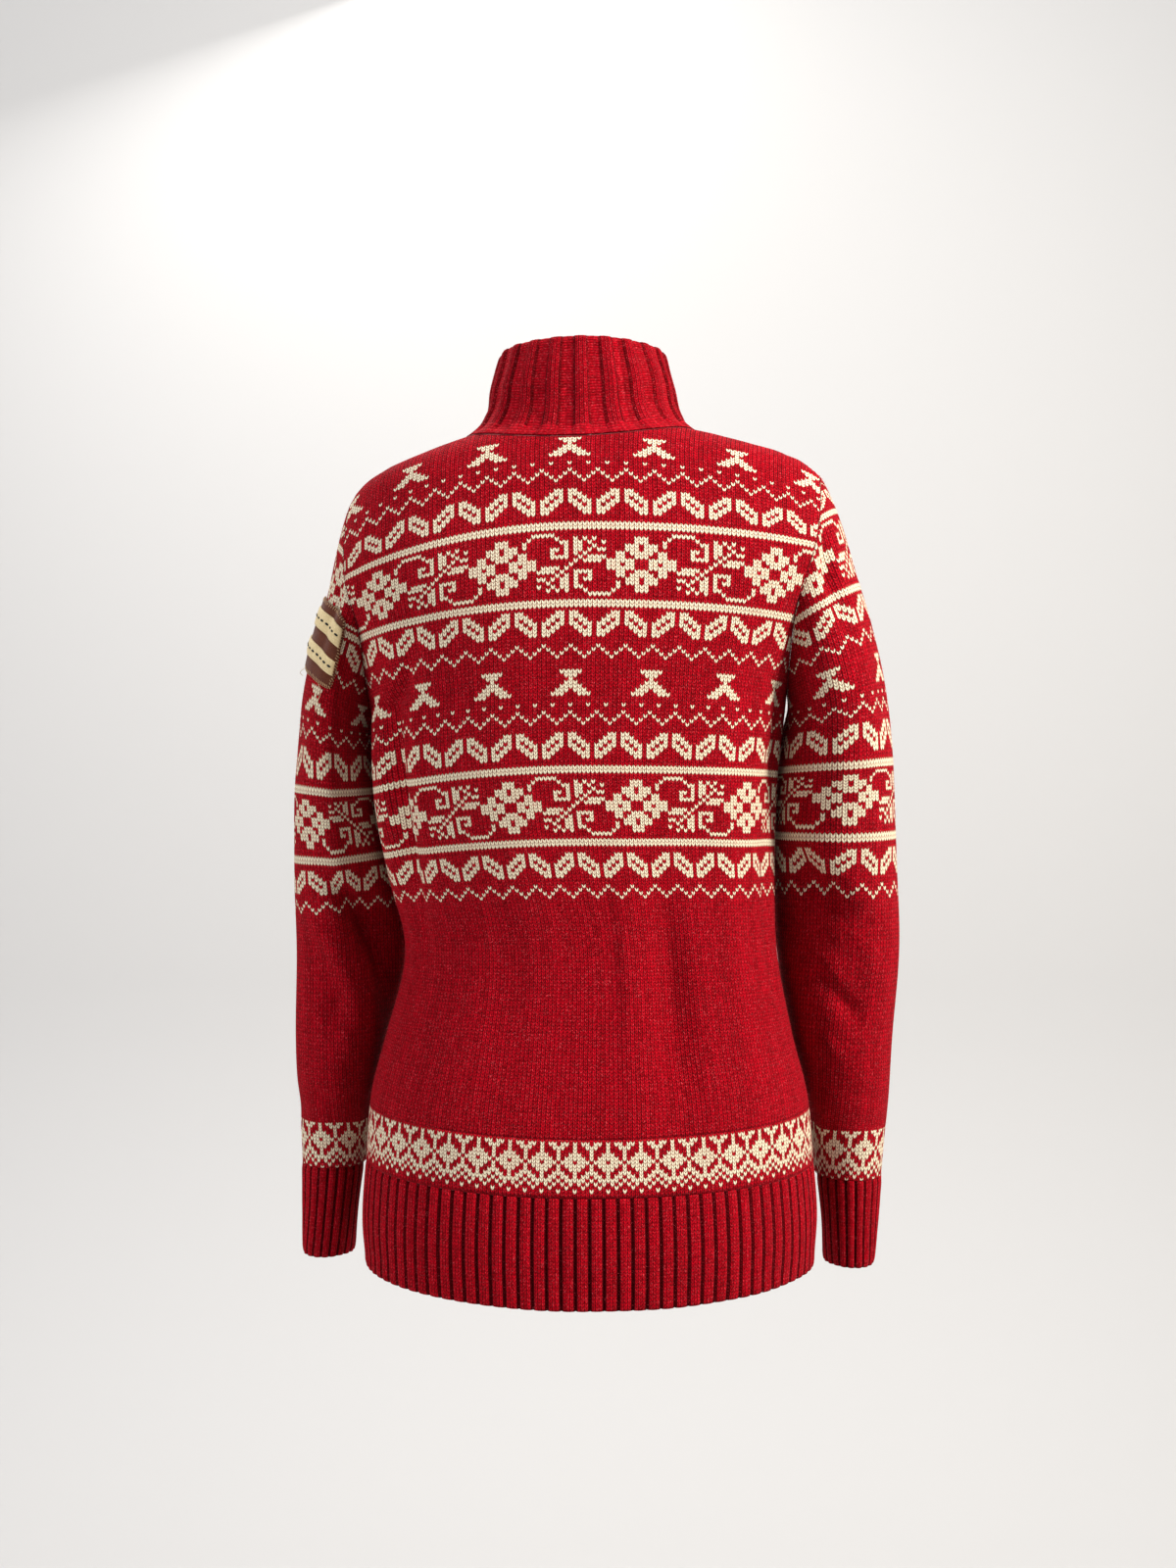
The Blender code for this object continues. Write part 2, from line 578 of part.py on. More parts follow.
def build_zip(kept, collar, mats):
    """Two tapes behind the front edges, and the closed chain between the fronts."""
    outer, inner, normal = collar
    edges = {}
    for side, name in ((1, "right"), (-1, "left")):
        first = 0 if side > 0 else -1
        second = 1 if side > 0 else -2
        panel_outer, panel_inner, inward = kept["front_" + name]
        band_outer, band_inner = kept[f"front_{name}_rib"]
        far = 5 if side > 0 else -6
        collar_first = 0 if side > 0 else -1
        collar_far = 3 if side > 0 else -4
        edge = np.concatenate([band_inner[:1, first], panel_inner[:, first],
                               inner[1:-1, collar_first]])
        away = np.concatenate([band_inner[:1, far], panel_inner[:, second],
                               inner[1:-1, collar_far]])
        back = np.concatenate([np.tile([0.0, -1.0, 0.0], (1, 1)), inward[:, first],
                               -normal[1:-1, collar_first]])
        across = unit(away - edge)
        back = unit(back - across * np.sum(back * across, -1, keepdims=True))
        edges[name] = (edge, across, back)
    for name, sign in (("right", 1), ("left", -1)):
        edge, across, back = edges[name]
        columns = [-0.0022, 0.0100]
        face = np.stack([edge + across * w + back * 0.0004 for w in columns], 1)
        rear = np.stack([edge + across * w + back * 0.0013 for w in columns], 1)
        wall("zip_tape_" + name, face, rear, mats["tape"])
    right, left = edges["right"], edges["left"]
    middle = (right[0] + left[0]) / 2
    back = unit(right[2] + left[2])
    rise = np.concatenate([[RIB_WALL], [WALL] * (UPPER_ROWS + LOWER_ROWS + 1),
                           [COLLAR_WALL] * (len(COLLAR) - 2)])[:, None]
    front = middle - back * (rise - 0.0002)
    rear = middle - back * 0.0002
    side = np.array([0.0027, 0.0, 0.0])
    wall("zip_chain", np.stack([front - side, front + side], 1),
         np.stack([rear - side, rear + side], 1), mats["teeth"])
    return middle, back


def bevelled_box(size, place, bevel):
    bm = bmesh.new()
    bmesh.ops.create_cube(bm, size=1.0, matrix=Matrix.Translation(place) @ Matrix.Diagonal((*size, 1)))
    bmesh.ops.bevel(bm, geom=bm.edges[:], offset=bevel, segments=1, affect="EDGES")
    return bm


def rod(radius, length, place, sides=16):
    """A cylinder along X."""
    bm = bmesh.new()
    turn = Matrix.Rotation(math.pi / 2, 4, "Y")
    bmesh.ops.create_cone(bm, cap_ends=True, segments=sides, radius1=radius, radius2=radius,
                          depth=length, matrix=Matrix.Translation(place) @ turn)
    return bm


def as_object(name, bm, mat=None, hidden=False):
    mesh = bpy.data.meshes.new(name)
    bm.to_mesh(mesh)
    bm.free()
    obj = bpy.data.objects.new(name, mesh)
    if mat:
        mesh.materials.append(mat)
    (cutters if hidden else collection).objects.link(obj)
    if hidden:
        obj.hide_render = True
        obj.display_type = "WIRE"
    return obj


cutters = bpy.data.collections.new("cutters")
cutters.hide_render = True
bpy.context.scene.collection.children.link(cutters)

PIN_OUT = 0.0054         # pull's pivot, in front of the collar's face
PULL_LENGTH = 0.026


def boolean(obj, tool, operation):
    modifier = obj.modifiers.new(operation.lower() + "_" + tool.name, "BOOLEAN")
    modifier.operation = operation
    modifier.object = tool


def build_slider(collar, mats):
    """Slider at the top of the chain, and its pull tab on a pin along X."""
    outer = collar[0]
    top, low = (outer[-2, 0] + outer[-2, -1]) / 2, (outer[-3, 0] + outer[-3, -1]) / 2
    up = Vector(top - low).normalized()
    spot = Vector(top) - up * 0.012
    spot.x = 0.0
    placed = Vector([float(v) for v in pose(np.array([spot]))[0]])
    turn = math.radians(float(smooth(POSE, 1, spot.z)))
    lean = math.atan2(up.y, up.z)
    frame = Matrix.Translation(placed) @ Matrix.Rotation(turn, 4, "Z") @ Matrix.Rotation(-lean, 4, "X")

    body = as_object("zip_slider", bevelled_box((0.0090, 0.0022, 0.0120), (0, 0.0021, 0), 0.0006),
                     mats["metal"])
    for name, place in (("ear_left", -0.0036), ("ear_right", 0.0036)):
        ear = bevelled_box((0.0011, 0.0042, 0.0034), (place, 0.0047, 0), 0.0003)
        boolean(body, as_object(name, ear, hidden=True), "UNION")
    boolean(body, as_object("pin", rod(0.0008, 0.0074, (0, PIN_OUT + 0.0001, 0), 12), hidden=True), "UNION")
    body.matrix_world = frame

    pull = as_object("zip_pull", rod(0.0019, 0.0048, (0, 0, 0), 20), mats["metal"])
    plate = bevelled_box((0.0048, 0.0014, PULL_LENGTH), (0, 0.0002, -PULL_LENGTH / 2 - 0.0012), 0.0004)
    boolean(pull, as_object("pull_plate", plate, hidden=True), "UNION")
    boolean(pull, as_object("pull_bore", rod(0.0012, 0.0070, (0, 0, 0), 16), hidden=True), "DIFFERENCE")
    pull.matrix_world = frame @ Matrix.Translation((0, PIN_OUT + 0.0001, 0))
    for helper in cutters.objects:
        base = pull if helper.name.startswith("pull") else body
        helper.matrix_world = base.matrix_world


def patch_points(across, down, lift):
    """Points over the left sleeve, across and down the patch from -1 to 1, lifted off it."""
    p, q = np.meshgrid(across, down)
    round_p = p * (1 - 0.10 * q**4)
    round_q = q * (1 - 0.10 * p**4)
    ring = 3.62 + 0.74 * round_q - 0.10 * round_p
    angle = np.radians(-53 + 46 * round_p)
    point = sleeve_point(-1, ring, angle)
    ahead = sleeve_point(-1, ring, angle + 0.01) - sleeve_point(-1, ring, angle - 0.01)
    downs = sleeve_point(-1, ring + 0.02, angle) - sleeve_point(-1, ring - 0.02, angle)
    normal = unit(np.cross(ahead, downs))
    centre = np.array([-0.19, 0.0, -0.14])
    normal = normal * np.sign(np.sum((point - centre) * normal, -1, keepdims=True))
    fold = sleeve_fold(-1, ring, angle)[..., None]
    return point + normal * (fold + lift)


def build_patch(mats):
    across = np.linspace(-1, 1, 9)
    down = np.array([-1.0, -0.72, -0.44, -0.18, 0.02, 0.22, 0.42, 0.62, 1.0])
    wall("sleeve_patch", patch_points(across, down, 0.0026), patch_points(across, down, 0.0012),
         mats["patch"])
    inset = across * 0.93
    for name, low, high in (("patch_stripe_upper", 1, 3), ("patch_stripe_lower", 5, 7)):
        rows = down[low:high + 1]
        wall(name, patch_points(inset, rows, 0.0040), patch_points(inset, rows, 0.0030), mats["stripe"])


def main():
    names = ["back", "front_left", "front_right", "back_rib", "front_left_rib", "front_right_rib",
             "sleeve_left", "sleeve_right", "cuff_left", "cuff_right", "collar"]
    mats = {name: material(name + "_wool", RED, 0.92) for name in names}
    mats["tape"] = material("zip_tape", (0.30, 0.010, 0.020), 0.85)
    mats["teeth"] = material("zip_teeth", (0.55, 0.45, 0.28), 0.35, 1.0)
    mats["metal"] = material("zip_metal", (0.55, 0.45, 0.28), 0.30, 1.0)
    mats["patch"] = material("patch_felt", (0.16, 0.055, 0.03), 0.85)
    mats["stripe"] = material("patch_stripe", CREAM, 0.85)
    kept = build_torso(mats)
    for side, name in ((-1, "left"), (1, "right")):
        build_sleeve(side, name, mats)
    collar = build_collar(kept, mats["collar"])
    build_zip(kept, collar, mats)
    build_slider(collar, mats)
    build_patch(mats)


main()
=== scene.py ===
"""Finish of the knitted cardigan: every stitch of the panels, the ribs, the zip and the patch.

Metres, in the CAD's own frame. The photograph looks along +Y at the back, and the wearer's left
is -X. A panel is a grid with one face for each stitch. A face keeps the colour of its own stitch
and of the one under it, and the material draws the V between the two.
"""
import math

import bmesh
import bpy
import numpy as np
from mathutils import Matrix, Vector


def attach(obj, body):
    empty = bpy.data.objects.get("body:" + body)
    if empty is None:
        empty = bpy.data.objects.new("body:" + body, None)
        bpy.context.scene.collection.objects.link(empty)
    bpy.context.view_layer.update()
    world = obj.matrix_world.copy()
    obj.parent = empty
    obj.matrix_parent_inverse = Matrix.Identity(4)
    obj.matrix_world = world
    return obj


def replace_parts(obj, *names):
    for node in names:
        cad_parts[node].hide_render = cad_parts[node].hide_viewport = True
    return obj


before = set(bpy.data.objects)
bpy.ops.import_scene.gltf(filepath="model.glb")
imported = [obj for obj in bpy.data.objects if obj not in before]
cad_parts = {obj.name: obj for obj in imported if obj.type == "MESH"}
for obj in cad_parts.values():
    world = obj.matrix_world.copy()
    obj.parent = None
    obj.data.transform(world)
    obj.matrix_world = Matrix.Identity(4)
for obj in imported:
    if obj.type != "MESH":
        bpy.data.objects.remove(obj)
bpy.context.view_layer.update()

WALL = 0.0023
RIB_WALL = 0.0026
COLLAR_WALL = 0.0036
SEAM = 0.0003
HEM_Z = -0.661
RIB_TOP_Z = -0.578
NECK_X = 0.093
COLLAR_TOP_Z = 0.07
CUFF_TOP_Z = -0.591
CUFF_Z = -0.6645
ROUND = 2.1
ZIP_GAP = 0.0034
STITCH = 0.0034
COLLAR_RIBS = 21
CUFF_RIBS = 20
FRONT_RIBS = 23
WHIP_STITCHES = 92
FIBRES = 26000
BORDER_RING = 9.65
FLOOR_Z = -1.46
SIDES = ((-1, "left"), (1, "right"))

# Torso: height, half width at the side seam or armhole seam, depth of the back, of the front
TORSO = np.array([
    (-0.68, 0.178, 0.1235, 0.1275),
    (-0.661, 0.179, 0.124, 0.128),
    (-0.622, 0.181, 0.125, 0.129),
    (-0.581, 0.1785, 0.123, 0.127),
    (-0.518, 0.1735, 0.117, 0.122),
    (-0.471, 0.162, 0.11, 0.116),
    (-0.4, 0.1485, 0.104, 0.112),
    (-0.342, 0.154, 0.107, 0.116),
    (-0.274, 0.161, 0.114, 0.124),
    (-0.205, 0.1665, 0.118, 0.128),
    (-0.176, 0.1675, 0.118, 0.125),
    (-0.145, 0.1695, 0.1165, 0.118),
    (-0.087, 0.1835, 0.108, 0.096),
    (-0.06, 0.1868, 0.101, 0.085),
    (-0.03, 0.187, 0.093, 0.076),
    (-0.01, 0.187, 0.084, 0.07),
    (0.006, 0.187, 0.073, 0.064),
])
# Shoulder line: distance from the centre, height
SHOULDER = np.array([
    (0.093, 0.003),
    (0.115, -0.0015),
    (0.1337, -0.0065),
    (0.16, -0.014),
    (0.177, -0.0215),
    (0.187, -0.03),
])
# Sleeve rings, from the top of the sleeve head to below the cuff:
# outer x, outer z, inner x, inner z, centre y, half depth
SLEEVE = np.array([
    (0.168, -0.01, 0.118, -0.068, 0.0, 0.044),
    (0.187, -0.03, 0.128, -0.085, 0.0, 0.052),
    (0.2005, -0.062, 0.14, -0.113, 0.0, 0.058),
    (0.2125, -0.108, 0.152, -0.15, 0.001, 0.062),
    (0.2245, -0.15, 0.162, -0.184, 0.003, 0.064),
    (0.235, -0.195, 0.1682, -0.216, 0.006, 0.064),
    (0.2405, -0.24, 0.1652, -0.25, 0.01, 0.062),
    (0.2436, -0.3, 0.1594, -0.304, 0.018, 0.058),
    (0.246, -0.4, 0.1518, -0.4, 0.028, 0.05),
    (0.2435, -0.515, 0.1745, -0.515, 0.036, 0.04),
    (0.2395, -0.57, 0.1845, -0.57, 0.04, 0.0345),
    (0.237, -0.6245, 0.1915, -0.6245, 0.042, 0.031),
    (0.235, -0.679, 0.1955, -0.679, 0.043, 0.03),
])
# Collar outline: share of its height, share of the way from its top ring out to the neck seam
COLLAR = np.array([
    (0.0, 1.0),
    (0.09, 0.68),
    (0.24, 0.44),
    (0.58, 0.27),
    (0.93, 0.04),
    (1.0, 0.0),
])
COLLAR_TOP_HALF_WIDTH = 0.0657
COLLAR_TOP_BACK = 0.066
COLLAR_TOP_FRONT = 0.056
# Pose: height, turn of the torso (degrees), sideways shift of the torso, of the sleeves,
# how far the left side hangs down, how far the right side does
POSE = np.array([
    (-0.68, 0.0, 0.0015, 0.0, -0.008, -0.008),
    (-0.58, 0.0, 0.001, 0.0035, -0.007, -0.004),
    (-0.48, 0.0, 0.001, 0.005, 0.0, 0.001),
    (-0.4, -1.5, 0.002, 0.0065, 0.006, 0.004),
    (-0.33, -3.0, -0.006, 0.0035, 0.0155, 0.005),
    (-0.27, -4.5, -0.01, 0.0018, 0.017, 0.003),
    (-0.2, -6.0, -0.008, 0.0015, 0.014, 0.001),
    (-0.14, -6.0, -0.005, 0.001, 0.013, 0.0),
    (-0.085, -6.0, -0.004, 0.0, 0.019, 0.0),
    (-0.03, -6.0, -0.0035, -0.002, 0.012, 0.0),
    (0.08, -6.0, -0.0045, 0.0, 0.007, 0.0),
])
# Folds of the torso: side (-1 back, 1 front), place across as a share of the half panel,
# height of the middle, half width, half length, depth (inwards is negative), lean
FOLDS = [
    (-1, -0.66, -0.285, 0.065, 0.085, -0.006, 0.1),
    (-1, -0.8, -0.28, 0.06, 0.09, 0.0035, 0.12),
    (-1, 0.84, -0.29, 0.06, 0.08, -0.004, -0.1),
    (-1, 0.45, -0.325, 0.09, 0.05, -0.0025, 0.2),
    (-1, 0.3, -0.44, 0.07, 0.085, -0.008, 0.16),
    (-1, -0.3, -0.43, 0.1, 0.08, -0.002, -0.15),
    (-1, 0.62, -0.455, 0.07, 0.07, 0.002, 0.1),
    (1, -0.72, -0.27, 0.06, 0.08, -0.0045, 0.12),
    (1, 0.76, -0.28, 0.06, 0.085, -0.0045, -0.12),
    (1, 0.4, -0.43, 0.09, 0.08, -0.0025, 0.1),
    (1, -0.36, -0.445, 0.09, 0.075, -0.0025, -0.1),
    (-1, -0.66, -0.27, 0.034, 0.085, -0.008, 0.14),
    (-1, -0.74, -0.262, 0.026, 0.075, 0.0028, 0.14),
    (-1, -0.88, -0.245, 0.034, 0.05, -0.0028, 0.55),
    (-1, 0.88, -0.25, 0.032, 0.05, -0.0028, -0.55),
    (-1, 0.8, -0.345, 0.04, 0.03, -0.002, -1.2),
    (-1, -0.78, -0.36, 0.04, 0.026, -0.0018, 1.4),
    (-1, 0.33, -0.425, 0.045, 0.085, -0.0024, 0.1),
    (-1, 0.14, -0.43, 0.045, 0.08, 0.0034, 0.16),
    (-1, -0.54, -0.275, 0.03, 0.075, 0.0022, 0.1),
    (-1, -0.73, -0.33, 0.026, 0.05, -0.002, 0.2),
    (-1, 0.1, -0.395, 0.03, 0.06, -0.001, 0.3),
    (-1, 0.36, -0.47, 0.028, 0.055, -0.0012, 0.05),
    (-1, -0.12, -0.505, 0.034, 0.045, -0.001, -0.25),
    (-1, 0.8, -0.4, 0.03, 0.045, -0.0016, -0.3),
    (-1, -0.84, -0.4, 0.03, 0.05, -0.0018, 0.3),
    (-1, 0.9, -0.12, 0.03, 0.03, -0.0012, 0.6),
    (-1, -0.9, -0.115, 0.03, 0.034, -0.0014, -0.6),
    (1, -0.55, -0.25, 0.03, 0.06, -0.0018, 0.2),
    (1, 0.62, -0.33, 0.028, 0.05, -0.0016, -0.2),
    (1, 0.2, -0.5, 0.034, 0.05, -0.001, 0.2),
    (1, -0.88, -0.39, 0.03, 0.05, -0.0016, 0.3),
]
# Folds and slanting creases of the sleeves: side, angle in degrees (0 outer, -90 back), ring, half
# width in degrees, half length in rings, depth, degrees that the fold turns in one ring
SLEEVE_FOLDS = [
    (1, -62, 2.6, 16, 1.3, -0.0045, 0),
    (1, -30, 5.2, 22, 0.7, -0.0025, 0),
    (1, -100, 8.0, 30, 0.35, -0.004, 0),
    (1, -60, 8.6, 34, 0.3, -0.003, 0),
    (1, 80, 8.2, 40, 0.4, -0.004, 0),
    (1, -118, 7.75, 20, 0.28, -0.006, 0),
    (1, -78, 8.3, 15, 0.15, -0.0034, 0),
    (-1, -66, 2.8, 16, 1.2, -0.0035, 0),
    (-1, -40, 5.6, 22, 0.6, -0.0025, 0),
    (-1, -75, 8.1, 32, 0.35, -0.004, 0),
    (-1, -30, 9.4, 34, 0.3, -0.0025, 0),
    (-1, 80, 8.2, 40, 0.4, -0.004, 0),
    (-1, -112, 7.7, 24, 0.34, -0.007, 0),
    (-1, -84, 8.45, 14, 0.18, -0.0034, 0),
    (1, -120, 6.6, 16, 0.5, -0.002, 0),
    (1, -140, 7.4, 14, 0.25, -0.0022, 0),
    (1, -45, 7.4, 22, 0.18, -0.0014, 0),
    (1, -110, 9.0, 20, 0.22, -0.0018, 0),
    (1, -75, 9.5, 26, 0.14, -0.0012, 0),
    (-1, -115, 6.9, 16, 0.4, -0.002, 0),
    (-1, -130, 7.7, 16, 0.25, -0.0022, 0),
    (-1, -55, 8.7, 24, 0.18, -0.0016, 0),
    (-1, -100, 9.6, 24, 0.16, -0.0014, 0),
    (1, 60, 9.2, 30, 0.25, -0.0018, 0),
    (1, 148, 9.6, 26, 1.5, 0.005, 0),
    (-1, 148, 9.6, 26, 1.5, 0.005, 0),
    (1, 150, 6.7, 24, 1.1, 0.0045, 0),
    (1, 156, 5.5, 22, 0.7, 0.004, 0),
    (-1, 150, 6.7, 24, 1.1, 0.0035, 0),
    (-1, 65, 7.5, 26, 0.25, -0.0018, 0),
    (1, -108, 7.55, 16, 0.28, -0.0095, 80),
    (1, -150, 7.75, 26, 0.35, -0.006, 20),
    (1, -74, 7.95, 10, 0.2, 0.0024, 70),
    (1, -104, 8.15, 9, 0.1, 0.003, 60),
    (1, -92, 8.4, 12, 0.13, -0.0066, 90),
    (1, -112, 8.7, 10, 0.1, 0.0022, 60),
    (1, -132, 7.45, 16, 0.25, -0.004, 45),
    (1, -66, 2.35, 8, 1.3, -0.004, -3),
    (1, -50, 2.6, 9, 1.2, 0.0026, -3),
    (1, -118, 5.6, 12, 0.7, -0.0026, 8),
    (1, -60, 6.6, 9, 0.35, -0.0018, -30),
    (1, -70, 9.15, 18, 0.1, -0.0016, 90),
    (-1, -114, 7.75, 18, 0.42, -0.014, -70),
    (-1, -146, 7.95, 28, 0.45, -0.014, -20),
    (-1, -82, 8.05, 13, 0.34, 0.0056, -70),
    (-1, -104, 8.62, 12, 0.16, 0.0024, -70),
    (-1, -92, 8.45, 14, 0.14, -0.003, -60),
    (-1, -70, 2.7, 9, 1.2, -0.003, 4),
    (-1, -118, 5.9, 14, 0.6, -0.003, -10),
    (-1, -62, 6.9, 10, 0.3, -0.0018, 40),
    (-1, -74, 9.2, 18, 0.1, -0.0018, -90),
    (1, 95, 7.9, 14, 0.24, -0.0036, -60),
    (1, 72, 8.35, 12, 0.18, -0.0026, 50),
    (-1, 98, 7.95, 14, 0.24, -0.0038, 60),
    (-1, 70, 8.4, 12, 0.16, -0.0026, -50),
]


def smooth(table, column, at, key=0):
    """The table's column at each place, on a smooth curve through its rows."""
    x = table[:, key] if key is not None else np.arange(len(table), dtype=float)
    y = table[:, column]
    slope = np.gradient(y, x)
    at = np.clip(np.asarray(at, float), x[0], x[-1])
    i = np.clip(np.searchsorted(x, at, side="right") - 1, 0, len(x) - 2)
    h = x[i + 1] - x[i]
    t = (at - x[i]) / h
    return ((2 * t**3 - 3 * t**2 + 1) * y[i] + (t**3 - 2 * t**2 + t) * h * slope[i]
            + (3 * t**2 - 2 * t**3) * y[i + 1] + (t**3 - t**2) * h * slope[i + 1])


def step(low, high, at):
    t = np.clip((at - low) / (high - low), 0, 1)
    return t * t * (3 - 2 * t)


def unit(v):
    return v / np.maximum(np.linalg.norm(v, axis=-1, keepdims=True), 1e-12)


def lengths(line):
    steps = np.linalg.norm(np.diff(line, axis=0), axis=1)
    return np.concatenate([[0.0], np.cumsum(steps)])


def sample(line, run, at):
    """A line's points at places along it, where run is each point's own place."""
    return np.stack([np.interp(at, run, line[:, k]) for k in range(3)], -1)


def read(table, at):
    """A table's second column at each place in its first."""
    return np.interp(at, table[:, 0], table[:, 1])


def pose(points):
    """Turns, shifts and drops the straight garment into the way it hangs."""
    p = np.array(points, float)
    x, y, z = p[..., 0], p[..., 1], p[..., 2]
    share = step(0.165, 0.215, np.abs(x))
    hang = step(0.1815, 0.187, np.abs(x)) * step(-0.5, -0.62, z) * np.where(x < 0, 0.003, 0.011)
    x = x + (1 - share) * smooth(POSE, 2, z) + share * smooth(POSE, 3, z)
    turn = np.radians(smooth(POSE, 1, z))
    x, y = x * np.cos(turn) - y * np.sin(turn), x * np.sin(turn) + y * np.cos(turn)
    out = np.minimum((x / 0.18) ** 2, 1.25)
    z = z - out * np.where(x < 0, smooth(POSE, 4, z), smooth(POSE, 5, z)) - hang
    return np.stack([x, y, z], -1)


def sleeve_point(side, ring, angle):
    """Outer face of a sleeve. Angle 0 is its outer side and minus a right angle its back."""
    ox, oz, ix, iz, cy, hy = (smooth(SLEEVE, k, ring, key=None) for k in range(6))
    cos, sin = np.cos(angle), np.sin(angle)
    x = (ox + ix) / 2 + (ox - ix) / 2 * cos
    z = (oz + iz) / 2 + (oz - iz) / 2 * cos
    return np.stack([side * x, cy + hy * sin, z], -1)


def armhole_line(share):
    """Sleeve ring and angle along one half of the armhole, from underarm to shoulder tip."""
    angles = np.linspace(math.pi, 0, 181)
    rings = np.linspace(0.2, 7.0, 1400)
    grid = sleeve_point(1, rings[:, None], angles)
    clear = grid[..., 0] > smooth(TORSO, 1, grid[..., 2])
    first = np.array([np.flatnonzero(clear[:, k])[0] for k in range(len(angles))])
    ring = rings[first]
    run = lengths(sleeve_point(1, ring, angles))
    places = np.asarray(share) * run[-1]
    return np.interp(places, run, ring), np.interp(places, run, angles)


ARM_RING, ARM_ANGLE = armhole_line(np.linspace(0, 1, 241))
ARM_BACK = sleeve_point(1, ARM_RING, -ARM_ANGLE)
ARM_FRONT = sleeve_point(1, ARM_RING, ARM_ANGLE)
UNDER_Z = float(ARM_BACK[0, 2])
TOP_Z = float(ARM_BACK[-1, 2])


def neck_z(x, face):
    """Height of the neck seam at a distance from the centre."""
    if face < 0:
        return -0.011 + 0.014 * (x / NECK_X) ** 2
    return -0.058 + 0.061 * (x / NECK_X) ** 2.4


def fold_depth(share, z, face):
    depth = np.zeros(np.broadcast(share, z).shape)
    for side, place, middle, wide, tall, deep, lean in FOLDS:
        if side == face:
            across = (share - place - lean * (z - middle)) / wide
            depth = depth + deep * np.exp(-across**2 - ((z - middle) / tall) ** 2)
    fade = step(1.0, 0.9, np.abs(share)) * step(0.0, 0.06, np.abs(share) if face > 0 else 1.0)
    return depth * fade * step(RIB_TOP_Z, RIB_TOP_Z + 0.05, z)


def sleeve_fold(side, ring, angle):
    depth = np.zeros(np.broadcast(ring, angle).shape)
    for which, place, middle, wide, tall, deep, turn in SLEEVE_FOLDS:
        if which == side:
            place = np.radians(place + turn * (ring - middle))
            across = np.degrees((angle - place + math.pi) % (2 * math.pi) - math.pi)
            depth = depth + deep * np.exp(-(across / wide) ** 2 - ((ring - middle) / tall) ** 2)
    return depth


# Charts of the bands, from the photograph's stitches, top row first. A # is cream.
FIGURE = ["..#####..", "...###...", "....#....", "...###...", "..#####..", ".###.###.", "###...###"]
DOTS = ["#..."]
ZIGZAG = ["#.....", ".#...#", "..#.#.", "...#.."]
LEAF = ["##...", "###..", "#.##.", "##.##", ".##.#", "..###", "...##"]
LEAVES = [row + "." + row[::-1] + "." for row in LEAF]
ROSETTE_HALF = ["......###......", "......###......", "....###.###....", "....###.###....",
                "..##.#####.##..", "..##..###..##..", "######...######", "###.##...##.###"]
SCROLL_HALF = ["...#####...............", "..#.....#...#.#.#......", ".#.......##.##.#..#....",
               ".#........#.##..#......", ".......##.#.##.#.##....", ".......#..#.#.#........",
               ".......####..#.####....", "............#.####.....", "...........#..........."]
BORDER = [".##.#.##", "##..#..#", "#...#...", "#..###..", "#.#####.", ".###.###", "#.#####.",
          "#..###..", "##..#..#", ".##.#.##", "#.#####.", ".#.#.#.#", "..#...#.", "#...#..."]


def chart(rows):
    """An array of a chart, bottom row first."""
    return np.array([[mark == "#" for mark in row] for row in rows[::-1]], float)


def rosette_band():
    """17 rows by 30 stitches: a rosette at stitch 0 and a scroll at stitch 15."""
    band = np.zeros((17, 30))
    rosette = ROSETTE_HALF + ROSETTE_HALF[-2::-1]
    scroll = SCROLL_HALF + [row[::-1] for row in SCROLL_HALF[-2::-1]]
    for figure, first_row, first_column in ((rosette, 1, -7), (scroll, 0, 4)):
        for row, marks in enumerate(figure):
            for column, mark in enumerate(marks):
                if mark == "#":
                    band[row + first_row, (column + first_column) % 30] = 1
    return band[::-1]


def figured(gap):
    """The bands that come twice, from the bottom up: kind, rows."""
    return [("zigzag", 4), ("plain", 2), ("leaves", 7), ("plain", gap), ("line", 2), ("plain", 1),
            ("rosettes", 17), ("plain", 1), ("line", 2), ("plain", 2), ("leaves", 7), ("plain", 2),
            ("zigzag", 4), ("plain", 1), ("dots", 1), ("plain", 2), ("figures", 7)]


# All bands from the bottom up. The first is the plain part above the border.
BANDS = [("plain", 67), *figured(2), ("plain", 3), *figured(1), ("plain", 40)]
THIN_YARN = 0.64         # how far cream covers a stitch in the zigzags and dots
# Which stitch of a repeat is at the middle of a panel: kind, repeat's stitches, shift
REPEATS = {
    "zigzag": (chart(ZIGZAG), 0),
    "leaves": (chart(LEAVES), 0),
    "line": (np.ones((2, 1)), 0),
    "rosettes": (rosette_band(), 15),
    "dots": (chart(DOTS), 0),
    "figures": (np.pad(chart(FIGURE), ((0, 0), (0, 9))), 4),
}


def stitch_colours(columns, shift=0):
    """1 where a stitch is cream, for columns counted from the middle, rows from the bottom up."""
    rows = []
    for kind, count in BANDS:
        if kind == "plain":
            rows.append(np.zeros((count, len(columns))))
            continue
        repeat, middle = REPEATS[kind]
        strength = THIN_YARN if kind in ("zigzag", "dots") else 1.0
        rows.append(strength * repeat[:, (columns + middle + shift) % repeat.shape[1]])
    return np.concatenate(rows)


rng = np.random.default_rng(7)
collection = bpy.data.collections.new("cardigan_looks")
bpy.context.scene.collection.children.link(collection)
LEAST_FACE = 6e-8        # smaller faces are left out


